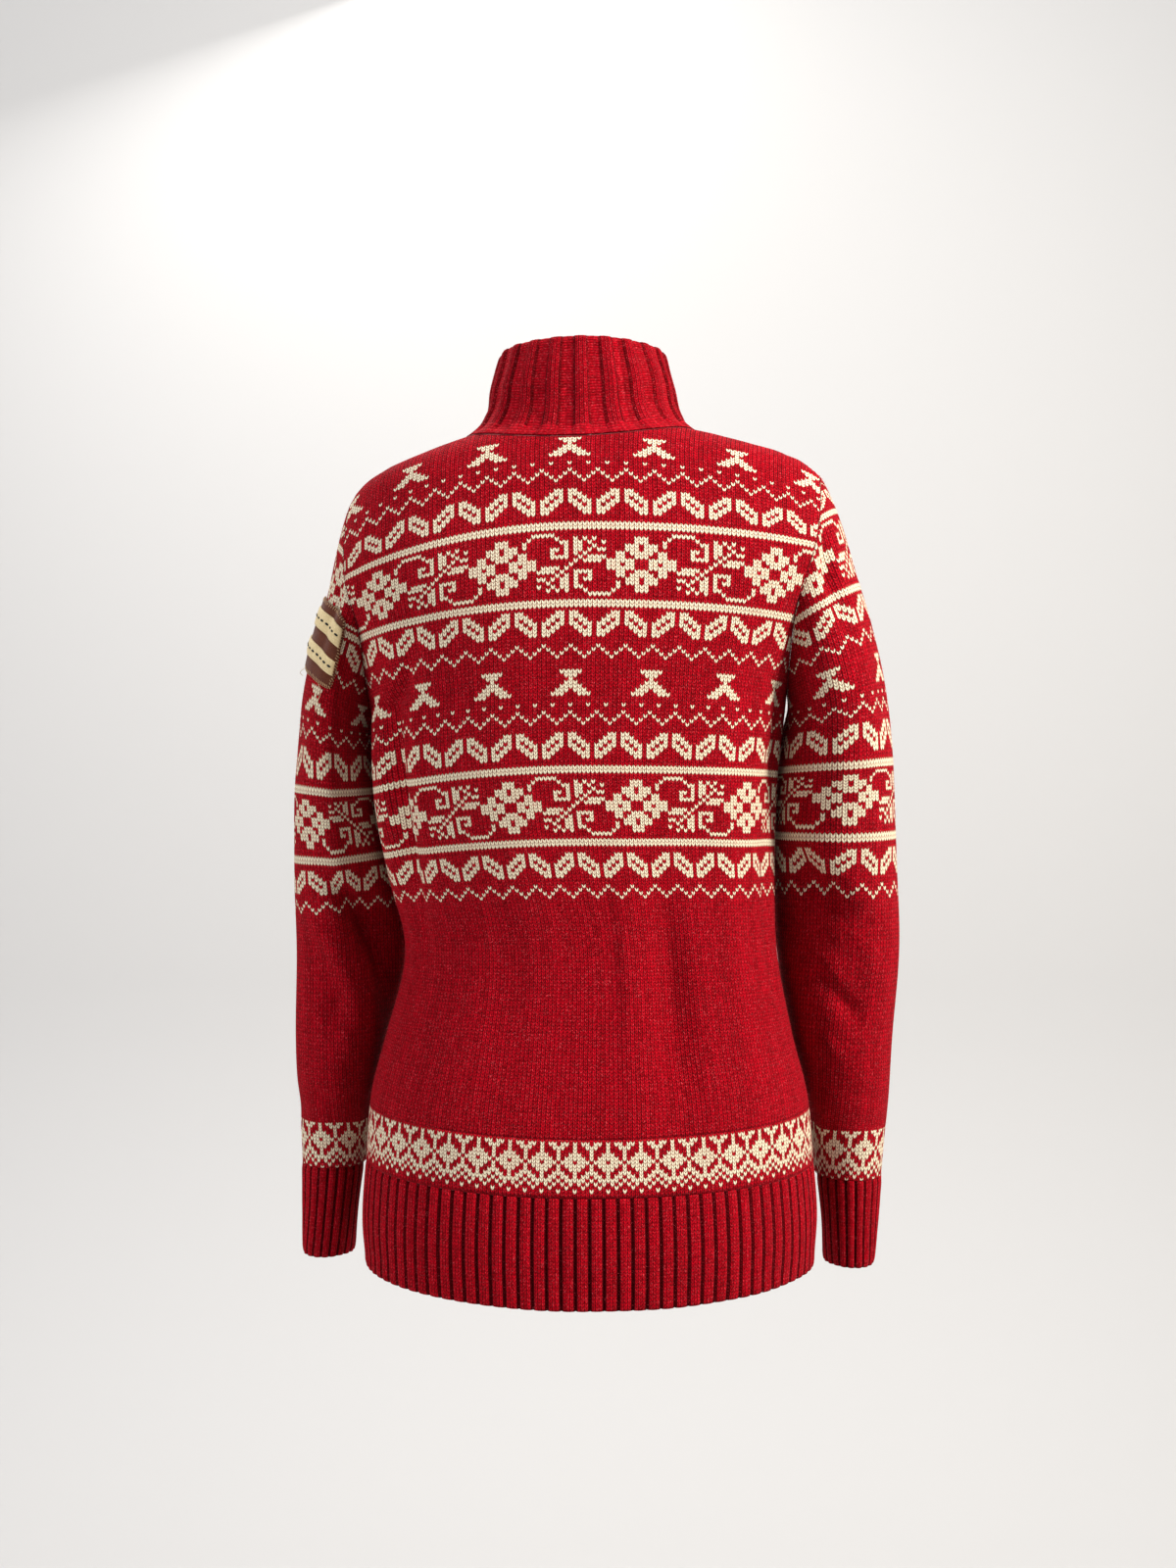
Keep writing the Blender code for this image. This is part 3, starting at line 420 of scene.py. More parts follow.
def layer(outer, inner, own=None, place=None, flag=None, dark=0.0):
    """One closed stretch of cloth between two grids, posed, as arrays. own is 1 for a cream stitch,
    place is each point's place across in stitches, flag is 1 for a purl stitch, and dark is how
    deep a stitch lies in a groove, which darkens the stitch's colour as painted shade."""
    outer, inner = pose(outer), pose(inner)
    rows, cols = outer.shape[:2]
    if own is None:
        own = np.zeros((rows - 1, cols - 1))
    if place is None:
        place = np.broadcast_to(np.arange(float(cols)), (rows, cols))
    j, i = np.meshgrid(np.arange(rows - 1), np.arange(cols - 1), indexing="ij")
    first = j * cols + i
    quads = np.stack([first, first + 1, first + cols + 1, first + cols], -1)
    flat, under = outer.reshape(-1, 3), inner.reshape(-1, 3)
    q = flat[quads]
    cross = np.cross(q[..., 2, :] - q[..., 0, :], q[..., 3, :] - q[..., 1, :])
    good = np.linalg.norm(cross, axis=-1) > LEAST_FACE
    turned = np.sum(cross * (q.mean(2) - under[quads].mean(2)))
    order = [0, 1, 2, 3] if turned > 0 else [3, 2, 1, 0]
    u = np.stack([place[:-1, :-1], place[:-1, 1:], place[1:, 1:], place[1:, :-1]], -1)
    u = np.clip(u - np.floor(u[..., :1] + 1e-4), 0, 1)
    v = np.broadcast_to([0.0, 0.0, 1.0, 1.0], u.shape)
    below = np.concatenate([np.zeros_like(own[:1]), own[:-1]])
    # Random tone of each stitch and of each wale, lowered by dark as painted shade in the grooves
    tone = 0.6 * rng.random(own.shape) + 0.4 * rng.random(own.shape[1]) - 2.0 * dark
    flag = np.zeros(own.shape) if flag is None else flag
    mark = np.stack([own, below, tone, flag], -1)[good]
    quads, uv = quads[good], np.stack([u, v], -1)[good]
    edges, ends = (np.concatenate([whole[:, [k, (k + 1) % 4]] for k in range(4)]) for whole in (quads, uv))
    owner = np.tile(np.arange(len(quads)), 4)
    total = rows * cols
    key = np.sort(edges, 1)
    _, at, counts = np.unique(key[:, 0] * total + key[:, 1], return_index=True, return_counts=True)
    rim = at[counts == 1]
    rim = rim[np.linalg.norm(flat[edges[rim, 0]] - flat[edges[rim, 1]], axis=1) > 2e-6]
    a, b = edges[rim].T
    rim_faces = np.stack([b, a, a + total, b + total], -1)
    rim_uv = ends[rim][:, [1, 0, 0, 1]]
    if order[0]:
        rim_faces, rim_uv = rim_faces[:, ::-1], rim_uv[:, ::-1]
    faces = np.concatenate([quads[:, order], (quads + total)[:, order[::-1]], rim_faces])
    uvs = np.concatenate([uv[:, order], uv[:, order[::-1]], rim_uv])
    marks = np.concatenate([mark, mark, mark[owner[rim]]])
    return np.concatenate([flat, under]), faces, uvs, marks


def placed(name, data, mat=None):
    """A new object in the collection."""
    obj = bpy.data.objects.new(name, data)
    collection.objects.link(obj)
    if mat:
        data.materials.append(mat)
    return obj


def quad_mesh(name, points, faces):
    """A mesh of faces with four corners, filled in bulk."""
    mesh = bpy.data.meshes.new(name)
    mesh.vertices.add(len(points))
    mesh.vertices.foreach_set("co", points.ravel())
    mesh.loops.add(faces.size)
    mesh.loops.foreach_set("vertex_index", faces.ravel().astype(np.int32))
    mesh.polygons.add(faces.size // 4)
    mesh.polygons.foreach_set("loop_start", np.arange(faces.size // 4, dtype=np.int32) * 4)
    return mesh


def cloth(name, layers, mat):
    """One object of several stretches of cloth."""
    points, faces, uvs, marks = zip(*layers)
    counts = np.cumsum([0] + [len(part) for part in points])
    faces = np.concatenate([part + count for part, count in zip(faces, counts)])
    points, uvs, marks = map(np.concatenate, (points, uvs, marks))
    used, index = np.unique(faces, return_inverse=True)
    mesh = quad_mesh(name, points[used], index)
    mesh.polygons.foreach_set("use_smooth", np.ones(len(faces), bool))
    mesh.update(calc_edges=True)
    mesh.uv_layers.new(name="UVMap").data.foreach_set("uv", uvs.astype(np.float32).ravel())
    yarn = mesh.color_attributes.new("yarn", "FLOAT_COLOR", "CORNER")
    yarn.data.foreach_set("color", np.repeat(marks, 4, axis=0).astype(np.float32).ravel())
    bm = bmesh.new()
    bm.from_mesh(mesh)
    bmesh.ops.remove_doubles(bm, verts=bm.verts, dist=3e-6)
    bmesh.ops.dissolve_degenerate(bm, edges=bm.edges, dist=1e-6)
    bm.to_mesh(mesh)
    bm.free()
    return placed(name, mesh, mat)


def dress(obj, name_of_slot):
    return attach(obj, "garment")


def declare(obj, node, name_of_slot):
    """Makes cloth take a node's place."""
    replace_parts(dress(obj, name_of_slot), node)


class Number:
    """A number in a material. Arithmetic on it adds Math nodes."""

    def __init__(self, nodes, socket):
        self.nodes, self.socket = nodes, socket

    __add__ = lambda self, other: self.nodes.math("ADD", self, other)
    __sub__ = lambda self, other: self.nodes.math("SUBTRACT", self, other)
    __rsub__ = lambda self, other: self.nodes.math("SUBTRACT", other, self)
    __mul__ = lambda self, other: self.nodes.math("MULTIPLY", self, other)
    __pow__ = lambda self, other: self.nodes.math("POWER", self, other)
    __abs__ = lambda self: self.nodes.math("ABSOLUTE", self)


class Nodes:
    """Short calls for building a material."""

    def __init__(self, name):
        self.mat = bpy.data.materials.new(name)
        self.mat.use_nodes = True
        self.tree = self.mat.node_tree
        self.shader = self.tree.nodes["Principled BSDF"]

    def add(self, kind, inputs=(), **settings):
        node = self.tree.nodes.new("ShaderNode" + kind)
        for key, value in settings.items():
            setattr(node, key, value)
        for key, value in dict(inputs).items():
            self.feed(node.inputs[key], value)
        return node

    def feed(self, socket, value):
        value = getattr(value, "socket", value)
        if hasattr(value, "links"):
            self.tree.links.new(value, socket)
        else:
            socket.default_value = (*value, 1) if isinstance(value, tuple) else value

    def math(self, operation, a, b=0.0):
        return Number(self, self.add("Math", {0: a, 1: b}, operation=operation).outputs[0])

    def mix(self, share, a, b, blend="MIX"):
        return self.add("Mix", {0: share, 6: a, 7: b}, data_type="RGBA", blend_type=blend).outputs[2]

    def place(self):
        return self.add("TexCoord").outputs["Object"]

    def split(self, vector):
        return [Number(self, part) for part in self.add("SeparateXYZ", {0: vector}).outputs]

    def noise(self, scale, detail=2.0, rough=0.5):
        settings = {"Scale": scale, "Detail": detail, "Roughness": rough, "Vector": self.place()}
        return Number(self, self.add("TexNoise", settings).outputs["Fac"])

    def span(self, value, low, high, to_low=0.0, to_high=1.0):
        return Number(self, self.add("MapRange", enumerate((value, low, high, to_low, to_high))).outputs[0])

    def finish(self, height=None, strength=0.0, distance=0.0, **values):
        """The shader's values, a height for its bump, and the material."""
        if height is not None:
            bump = self.add("Bump", {"Strength": strength, "Distance": distance, "Height": height})
            values["Normal"] = bump.outputs[0]
        for key, value in values.items():
            self.feed(self.shader.inputs[key.replace("_", " ")], value)
        return self.mat


def knit_material(name, red, deep):
    """Knitted wool: V-shaped stitches in two colours, with heather flecks, fine fibres and painted shade
    between the legs, between the wales and in the grooves of ribs.
    """
    n = Nodes(name)
    u, v, _ = n.split(n.add("UVMap", uv_map="UVMap").outputs[0])
    yarn = n.add("Attribute", attribute_name="yarn")
    marks = n.add("SeparateColor", {0: yarn.outputs["Color"]}).outputs
    own, below, tone, purl = (Number(n, part) for part in (*marks, yarn.outputs["Alpha"]))
    # Two slanting legs a stitch, the next stitch's legs between them
    side = abs(u - 0.5)
    rise = v - side * 1.5
    under = n.math("LESS_THAN", rise, 0.0)
    chosen = own + under * (below - own)
    up = 1.0 - abs((rise + under) * 2.0 - 1.0) ** 2.2
    across = 1.0 - abs(side * 4.0 - 1.0) ** 2.6 * 0.96
    knit = n.math("SQRT", up * across)
    bow = (1.0 - abs(v * 2.0 - 1.0) ** 2.0) * (1.0 - side * 1.3)
    height = knit + purl * (bow - knit)
    # Heather red, and a cream that lets a little red through
    fibre, fleck, cloud = n.noise(1700.0, 2.0, 0.6), n.noise(620.0, 3.0, 0.65), n.noise(16.0, 3.0, 0.5)
    wool = n.mix(n.span(tone * 0.34 + fleck, 0.38, 0.92), deep, red)
    wool = n.mix(n.span(n.noise(760.0, 2.0, 0.7), 0.57, 0.7, 0.0, 0.7), wool, (0.88, 0.085, 0.105))
    pale = n.mix(n.span(fleck, 0.52, 0.78, 0.0, 0.4), (1.0, 0.93, 0.67), (0.85, 0.52, 0.36))
    pale = n.mix(n.span(tone, 0.72, 1.0, 0.0, 0.35), pale, (0.86, 0.5, 0.38))
    level = height + fleck * 0.35 - (1.0 - chosen)
    chosen = n.span(chosen, 0.0, 0.6) * n.span(level, 0.36, 0.6)
    # Shadow between the legs, between the wales and in the grooves of ribs
    colour = n.mix(chosen, wool, pale)
    groove_shade = n.mix(chosen, (0.045, 0.0, 0.002), (0.26, 0.06, 0.03))
    colour = n.mix(n.span(height, 0.05, 0.88, 0.96, 0.0) * (1.0 - purl * 0.45), colour, groove_shade)
    # Painted shade on stitches that lie deep in a groove, where their tone is low
    colour = n.mix(n.span(tone, -0.2, -1.2, 0.0, 0.72), colour, (0.03, 0.0, 0.001))
    colour = n.mix(n.span(cloud, 0.35, 0.7, 0.0, 0.1), colour, (0.35, 0.0, 0.01), "MULTIPLY")
    colour = n.mix(n.span(side, 0.3, 0.48, 0.0, 0.85) * (1.0 - purl), colour, groove_shade)
    return n.finish(height + fibre * 0.5, 0.9, 0.0008, Base_Color=colour, Roughness=0.9,
                    Specular_IOR_Level=0.05, Sheen_Weight=0.03, Sheen_Roughness=0.4,
                    Sheen_Tint=(1.0, 0.25, 0.3))


# Three copies of one red wool. The rib copy is made lighter than the body's as painted light on the ribs;
# the collar's is a little darker.
KNIT = knit_material("knit_two_colour", (0.64, 0.002, 0.014), (0.215, 0.0003, 0.0025))
RIB_KNIT = knit_material("knit_rib", (0.73, 0.0024, 0.016), (0.25, 0.0004, 0.003))
COLLAR_KNIT = knit_material("knit_collar", (0.62, 0.002, 0.014), (0.21, 0.0003, 0.0025))

# Heights of the rows of stitches at the middle of the body, from the border up: row, height
BODY_ROWS = np.array([(0, -0.5361), (83, -0.318), (104, -0.264), (149, -0.1415), (170, -0.083),
                      (176.5, -0.0635), (184, -0.0434), (187.5, -0.0335), (193.5, -0.02),
                      (197, -0.0125), (220, 0.038)])
# How far a row hangs lower 180 mm out from the middle: height, drop
ROW_DROP = np.array([(-0.578, 0.0), (-0.536, -0.004), (-0.45, 0.0), (-0.318, 0.0), (-0.264, 0.001),
                     (-0.2015, 0.004), (-0.1415, 0.0068), (-0.083, 0.0085), (-0.06, 0.0145),
                     (-0.02, 0.0195), (0.03, 0.02)])
# Width of a stitch above the underarm, and how far the wales lean to the right: height, size
STITCH_WIDE = np.array([(-0.205, 0.00329), (-0.13, 0.00346), (-0.06, 0.00352), (0.01, 0.00355)])
WALE_SHIFT = np.array([(-0.578, 0.0), (-0.45, 0.0025), (-0.2, 0.006), (-0.083, 0.0005), (-0.02, -0.003)])
STRAIGHT_Z = -0.09       # above it the wales run straight up instead of round the body
HALF = 69                # stitches from the middle to the side seam
BORDER_HALF = 78         # the same in the border
Z_STEP, S_STEP = 0.001, 0.0005


class Face:
    """The back or the front of the torso as a table of points over (distance round, height)."""

    def __init__(self, face):
        self.face = face
        self.z = np.arange(-0.664, 0.0061, Z_STEP)
        self.s = np.arange(0, 0.2561, S_STEP)
        line = ARM_BACK if face < 0 else ARM_FRONT
        z = self.z
        self.depth = smooth(TORSO, 2 if face < 0 else 3, z)
        edge = smooth(TORSO, 1, z)
        arm = (z > UNDER_Z) & (z <= TOP_Z)
        top = z > TOP_Z
        edge[arm] = np.interp(z[arm], line[:, 2], line[:, 0])
        edge[top] = np.interp(-z[top], -SHOULDER[:, 1], SHOULDER[:, 0])
        wide = edge.copy()
        inset = np.minimum(np.abs(np.interp(z[arm], line[:, 2], line[:, 1])) / self.depth[arm], 0.95)
        wide[arm] = edge[arm] / (1 - inset**ROUND) ** (1 / ROUND)
        self.edge, self.wide = edge, wide
        self.reach = np.zeros(len(z))
        self.x = np.zeros((len(z), len(self.s)))
        fixed = None
        for k, height in enumerate(z):
            full = math.asin(min(1.0, (edge[k] / wide[k]) ** (ROUND / 2)))
            angle = np.linspace(0, full, 161)
            x = wide[k] * np.sin(angle) ** (2 / ROUND)
            y = self.depth[k] * np.cos(angle) ** (2 / ROUND)
            run = lengths(np.stack([x, y], -1))
            if height <= STRAIGHT_Z:
                self.x[k] = np.interp(self.s, run, x)
                self.reach[k] = run[-1]
                fixed = np.where(self.s > run[-1], edge[k] + self.s - run[-1], self.x[k])
            else:
                self.x[k] = np.minimum(fixed, edge[k])
                self.reach[k] = np.interp(edge[k], fixed, self.s)

    def at_height(self, values, z):
        return np.interp(z, self.z, values)

    def points(self, s, z):
        """Outer points at signed distances round from the middle, and heights."""
        z = np.clip(z, self.z[0], self.z[-1])
        sign = np.where(s < 0, -1.0, 1.0)
        a = np.abs(s)
        kz = np.clip((z - self.z[0]) / Z_STEP, 0, len(self.z) - 1.001)
        ks = np.clip(a / S_STEP, 0, len(self.s) - 1.001)
        i, j = kz.astype(int), ks.astype(int)
        f, g = kz - i, ks - j
        x = (self.x[i, j] * (1 - f) * (1 - g) + self.x[i + 1, j] * f * (1 - g)
             + self.x[i, j + 1] * (1 - f) * g + self.x[i + 1, j + 1] * f * g)
        edge = self.at_height(self.edge, z)
        x = np.where(a > self.limit(z) - 2e-6, edge, np.minimum(x, edge))
        return np.stack([sign * x, self.bow(x, z), z], -1)

    def bow(self, x, z):
        """How far the panel's curve lies from the middle of the body, at an unsigned x."""
        wide, depth = self.at_height(self.wide, z), self.at_height(self.depth, z)
        return self.face * depth * np.maximum(0.0, 1 - (x / wide) ** ROUND) ** (1 / ROUND)

    def normals(self, p):
        x, y, z = np.abs(p[..., 0]), np.abs(p[..., 1]), p[..., 2]
        wide, depth = self.at_height(self.wide, z), self.at_height(self.depth, z)
        wide_slope, depth_slope = (self.at_height(np.gradient(self.soft(values), Z_STEP), z)
                                   for values in (self.wide, self.depth))
        nx = (x / wide) ** (ROUND - 1) / wide
        ny = np.maximum(y, 1e-5) ** (ROUND - 1) / depth**ROUND
        nz = -(x / wide) ** ROUND * wide_slope / wide - (y / depth) ** ROUND * depth_slope / depth
        return unit(np.stack([np.sign(p[..., 0]) * nx, self.face * ny, nz], -1))

    def soft(self, values):
        kernel = np.exp(-np.linspace(-2, 2, 21) ** 2)
        return np.convolve(np.pad(values, 10, mode="edge"), kernel / kernel.sum(), mode="valid")

    def limit(self, z):
        return self.at_height(self.reach, z)


FACES = {-1: Face(-1), 1: Face(1)}


def row_height(middle, s):
    return middle - read(ROW_DROP, middle) * (np.minimum(np.abs(s), 0.2) / 0.18) ** 2


def to_shoulder(p, side):
    """Directions from points at an armhole to the middle of that shoulder."""
    return unit(np.multiply.outer(side, [0.12, 0.0, 0.0]) + [0.0, 0.0, -0.115] - p)


def turn_edges(p, inward, side, arm):
    """The sewn edge at the armhole turns in towards the middle of the shoulder."""
    target = to_shoulder(p, side)
    agree = step(0.2, 0.7, np.sum(target * inward, -1))[..., None]
    turned = unit(target * agree + inward * (1 - agree))
    return np.where(arm[..., None], turned, inward)


def panel_part(face, side, columns, middle, s):
    """Outer and inner points of a stretch of a panel, and each point's place in stitches."""
    table = FACES[face]
    z = row_height(middle[:, None], s)
    z = np.clip(z, RIB_TOP_Z, 0.003)
    way = np.where(s < 0, -1.0, 1.0) if side == 0 else np.full(s.shape, float(side))
    least = ZIP_GAP if face > 0 else 0.0
    for _ in range(6):
        reach = table.limit(z)
        size = np.clip(way * s, least, reach)
        p = table.points(way * size, z)
        far = np.abs(p[..., 0])
        ceiling = np.where(far < NECK_X - 1e-5, neck_z(np.minimum(far, NECK_X), face) - SEAM, 0.003)
        z = np.minimum(z, ceiling)
    held = way * size
    normal = table.normals(p)
    to_edge = np.maximum(reach - size, 0.0)
    share = np.clip(held / reach, -1, 1)
    depth = fold_depth(share, z, face)
    depth = depth - 0.0006 * np.exp(-((to_edge - 0.003) / 0.0022) ** 2)
    p = p + normal * depth[..., None]
    edge = to_edge < 1e-6
    arm = edge & (z > UNDER_Z)
    seam = edge & (z <= UNDER_Z)
    inward = turn_edges(p, -normal, way, arm)
    p[..., 0] -= np.where(arm, way * SEAM, 0.0)
    p[..., 1] = np.where(seam | (np.abs(p[..., 1]) < SEAM), face * SEAM, p[..., 1])
    wide = np.gradient(s, axis=1)
    place = columns + (held - s) / wide
    return p, p + inward * WALL, place


def extent(side, near, far):
    """The two ends of a whole panel, side 0, or of its left or right half."""
    return {0: (-far, far), -1: (-far, -near), 1: (near, far)}[side]


def torso_panel(face, side):
    """The panel as two stretches: the border with its finer stitches, and all above it."""
    table = FACES[face]
    layers = []
    for stretch in ("border", "main"):
        low, high = extent(side, 0, BORDER_HALF if stretch == "border" else HALF + 3)
        columns = np.arange(low, high + 1)
        if stretch == "border":
            middle = np.linspace(RIB_TOP_Z, BODY_ROWS[0, 1], 17)
            own = np.zeros((16, len(columns) - 1))
            own[1:15] = chart(BORDER)[:, columns[:-1] % 8]
            s = columns / BORDER_HALF * table.limit(middle)[:, None]
        else:
            middle = read(BODY_ROWS, np.arange(0.0, 217.0))
            own = stitch_colours(columns[:-1])[:216]
            wide = np.where(middle < UNDER_Z, table.limit(np.minimum(middle, UNDER_Z)) / HALF,
                            read(STITCH_WIDE, middle))
            shift = read(WALE_SHIFT, middle) * (face < 0)
            s = columns * wide[:, None] + shift[:, None]
        outer, inner, place = panel_part(face, side, columns.astype(float), middle, s)
        layers.append(layer(outer, inner, own, place))
    return layers


def ribbed(count, places, rises):
    """Shares of the way round of the columns of all ribs, and how far each column stands out."""
    span = np.concatenate([(k + np.array(places)) / count for k in range(count)] + [[1.0]])
    return span, np.array([*rises * count, rises[0]])


RIB_PLACES = [0.0, 0.13, 0.38, 0.62, 0.87]
RIB_PURL = [1.0, 0.0, 0.0, 0.0, 1.0]


def band_layers(face, side):
    """Ribbed hem band: each rib is three stitches wide, with a groove of one between."""
    table = FACES[face]
    count = FRONT_RIBS if side else 2 * FRONT_RIBS
    span, rise = ribbed(count, RIB_PLACES, [-0.0019, 0.0, 0.0006, 0.0006, 0.0])
    heights = np.linspace(HEM_Z, RIB_TOP_Z - 2 * SEAM, 31)
    reach = table.limit(heights)[:, None]
    low, high = extent(side, ZIP_GAP / 0.245, 1.0)
    shares = low + (high - low) * span
    s = shares * reach
    z = np.broadcast_to(heights[:, None], s.shape)
    p = table.points(s, z)
    normal = table.normals(p)
    edge = np.abs(shares) > 0.9995
    p[..., 1] = np.where(edge, face * SEAM, p[..., 1])
    ripple = 0.0005 * np.sin(s * 61 + 3 * np.sin(z * 40 + s * 9))
    lift = rise + ripple * np.exp(-((z + 0.655) / 0.02) ** 2)
    lift = lift - 0.0007 * step(RIB_TOP_Z - 0.006, RIB_TOP_Z, z)
    lip = 0.0007 * step(0.0025, 0.0, z - HEM_Z)
    flag = np.tile(RIB_PURL, (30, count))
    outer = p + normal * (lift - lip)[..., None]
    inner = p - normal * (RIB_WALL - lip)[..., None]
    # The purl stitches in the grooves are darkened as painted shade, through dark
    return [layer(outer, inner, flag=flag, dark=flag)]


def sleeve_limit(angle):
    """Ring where a sleeve starts, at an angle round it."""
    return np.interp(np.abs(angle), ARM_ANGLE[::-1], ARM_RING[::-1]) + 0.011


def ring_at(height):
    rings = np.linspace(6, 12, 1201)
    return float(np.interp(-height, -sleeve_point(1, rings, 0.0)[:, 2], rings))


# Ring of a sleeve against its row of stitches, counted up from the border
SLEEVE_LANDMARKS = np.array([(-12, 10.55), (-10, 10.42), (4, BORDER_RING), (64, 7.71), (83, 7.12),
                             (104, 6.28), (149, 3.28), (170, 1.95), (180, 1.44), (197, 0.86)])
LEFT_LATE = 0.06         # the left sleeve's bands at landmarks 3 to 5 sit lower by this


def ring_place(side, ring, angle):
    """Outer points and normals of a sleeve over a grid of rings and angles."""
    p = sleeve_point(side, ring, angle)
    ahead = sleeve_point(side, ring, angle + 0.01) - sleeve_point(side, ring, angle - 0.01)
    down = sleeve_point(side, ring + 0.03, angle) - sleeve_point(side, ring - 0.03, angle)
    normal = unit(np.cross(ahead, down))
    centre = (sleeve_point(side, ring, 0 * angle) + sleeve_point(side, ring, 0 * angle + math.pi)) / 2
    return p, normal * np.sign(np.sum((p - centre) * normal, -1, keepdims=True))


def angles_for(side, rings, s):
    """Angle round a sleeve at a signed distance from its outer side, for each ring."""
    angle = np.zeros(s.shape)
    turn = np.linspace(0, math.pi, 241)
    for row, ring in enumerate(rings):
        for sign in (-1, 1):
            line = sleeve_point(side, np.full(241, ring), turn * sign)
            run = lengths(line)
            pick = (s[row] < 0) if sign < 0 else (s[row] >= 0)
            angle[row, pick] = sign * np.interp(np.abs(s[row, pick]), run, turn)
    return angle


def sleeve_layers(side):
    """A sleeve: rows are rings, and wales run down from its outer side both ways to the inner seam."""
    last = ring_at(CUFF_TOP_Z) - 0.006
    landmarks = SLEEVE_LANDMARKS.copy()
    landmarks[3:6, 1] += LEFT_LATE if side < 0 else 0.0
    columns = np.arange(-48, 49)
    rows = np.arange(-12, 198)
    rings = np.minimum(read(landmarks, rows), last)
    bands = stitch_colours(columns[:-1], 8 if side > 0 else 2)
    own = np.concatenate([np.zeros((12, len(columns) - 1)), bands[:len(rows) - 13]])
    top = int(np.argmin(np.abs(rings - BORDER_RING)))
    own[top - 14:top] = chart(BORDER)[:, (columns[:-1] + 2) % 8]
    wide = STITCH * np.interp(rings, [0.8, 8.0, 9.2, 10.4], [1.0, 1.0, 0.94, 0.9])
    turn = np.linspace(0, math.pi, 121)
    half = np.array([lengths(sleeve_point(side, np.full(121, r), -turn))[-1] for r in rings])
    s = np.clip(columns * wide[:, None], -half[:, None], half[:, None])
    place = s / wide[:, None]
    angle = angles_for(side, rings, s)
    ring = np.maximum(rings[:, None], sleeve_limit(angle))
    ring = np.minimum(ring, last)
    p, normal = ring_place(side, ring, angle)
    depth = sleeve_fold(side, ring, angle) * step(0.0, 0.7, ring - sleeve_limit(angle))
    p = p + normal * depth[..., None]
    start = ring - sleeve_limit(angle) < 1e-6
    inward = turn_edges(p, -normal, np.full(ring.shape, float(side)), start)
    return [layer(p, p + inward * WALL, own, place)]


def cuff_layers(side):
    """A ribbed cuff; the left one is pushed up a little and its ribs lean."""
    span, rise = ribbed(CUFF_RIBS, RIB_PLACES, [-0.0017, 0.0, 0.0007, 0.0007, 0.0])
    turns = span * 2 * math.pi
    last, end = ring_at(CUFF_TOP_Z), ring_at(CUFF_Z)
    rings = np.linspace(end, last, 28)
    down = (rings - last) / (end - last)
    lean = (0.16 if side < 0 else 0.05) * down**2
    angle = turns + lean[:, None] * (1.0 + 0.6 * np.sin(turns + 1.0))
    ring = np.broadcast_to(rings[:, None], angle.shape)
    p, normal = ring_place(side, ring, angle)
    lip = 0.0007 * step(0.06, 0.0, 1 - down)[:, None]
    waist = -0.0007 * np.exp(-(down / 0.05) ** 2)[:, None]
    puff = 0.0005 * np.sin(3 * turns + 5 * down[:, None]) * down[:, None]
    lift = rise + waist + puff
    outer = p + normal * (lift - lip)[..., None]
    inner = p - normal * (RIB_WALL - lip)[..., None]
    flag = np.tile(RIB_PURL, (27, CUFF_RIBS))
    # The purl stitches in the grooves are darkened as painted shade, through dark
    return [layer(outer, inner, flag=flag, dark=flag)]


def neck_line(face):
    """Points along half of the neck seam, from the middle to the shoulder seam."""
    x = NECK_X * (1 - (1 - np.linspace(0, 1, 161)) ** 2)
    z = neck_z(x, face)
    return np.stack([x, FACES[face].bow(x, z), z], -1)


def neck_foot():
    """The whole neck seam, from the right front edge over the back to the left front edge."""
    front, rear = neck_line(1), neck_line(-1)
    front = front[front[:, 0] >= ZIP_GAP]
    mirror = np.array([-1.0, 1.0, 1.0])
    return np.concatenate([front, rear[-2::-1], (rear * mirror)[1:], (front * mirror)[-2::-1]])


def collar_grid(span):
    """Heights as shares, normals and points of the collar's middle surface over its columns."""
    foot = neck_foot()
    run = lengths(foot)
    neck = sample(foot, run, span * run[-1])
    gap = math.asin(ZIP_GAP / COLLAR_TOP_HALF_WIDTH)
    turn = math.pi / 2 - gap - span * (2 * math.pi - 2 * gap)
    depth = np.where(np.sin(turn) > 0, COLLAR_TOP_FRONT, COLLAR_TOP_BACK)
    top = np.stack([COLLAR_TOP_HALF_WIDTH * np.cos(turn), depth * np.sin(turn),
                    np.full(len(turn), COLLAR_TOP_Z)], -1)
    levels = 1 - (1 - np.linspace(0, 1, 37)) ** 1.05
    levels[0] = 0.0
    out = smooth(COLLAR, 1, levels)
    base = []
    for share, far in zip(levels, out):
        height = neck[:, 2] + 2 * SEAM + (top[:, 2] - neck[:, 2] - 2 * SEAM) * share
        flat = top[:, :2] + (neck[:, :2] - top[:, :2]) * far
        base.append(np.concatenate([flat, height[:, None]], -1))
    base = np.array(base)
    clear = np.where(neck[:, 1] > 0, 0.0013, 0.0004)[:, None]
    base = base + unit(base[2] - base[0]) * clear * step(0.12, 0.0, levels)[:, None, None]
    du, dv = np.gradient(base, axis=1), np.gradient(base, axis=0)
    normal = unit(np.cross(dv, du))
    normal = normal * np.sign(np.sum((base * normal)[..., :2], -1, keepdims=True))
    normal[..., 2] = np.clip(normal[..., 2], -0.5, 0.5)
    foot_soft = step(0.0, 0.12, levels)[:, None]
    normal[..., 2] = normal[..., 2] * foot_soft - 0.15 * (1 - foot_soft)
    return levels, unit(normal), base


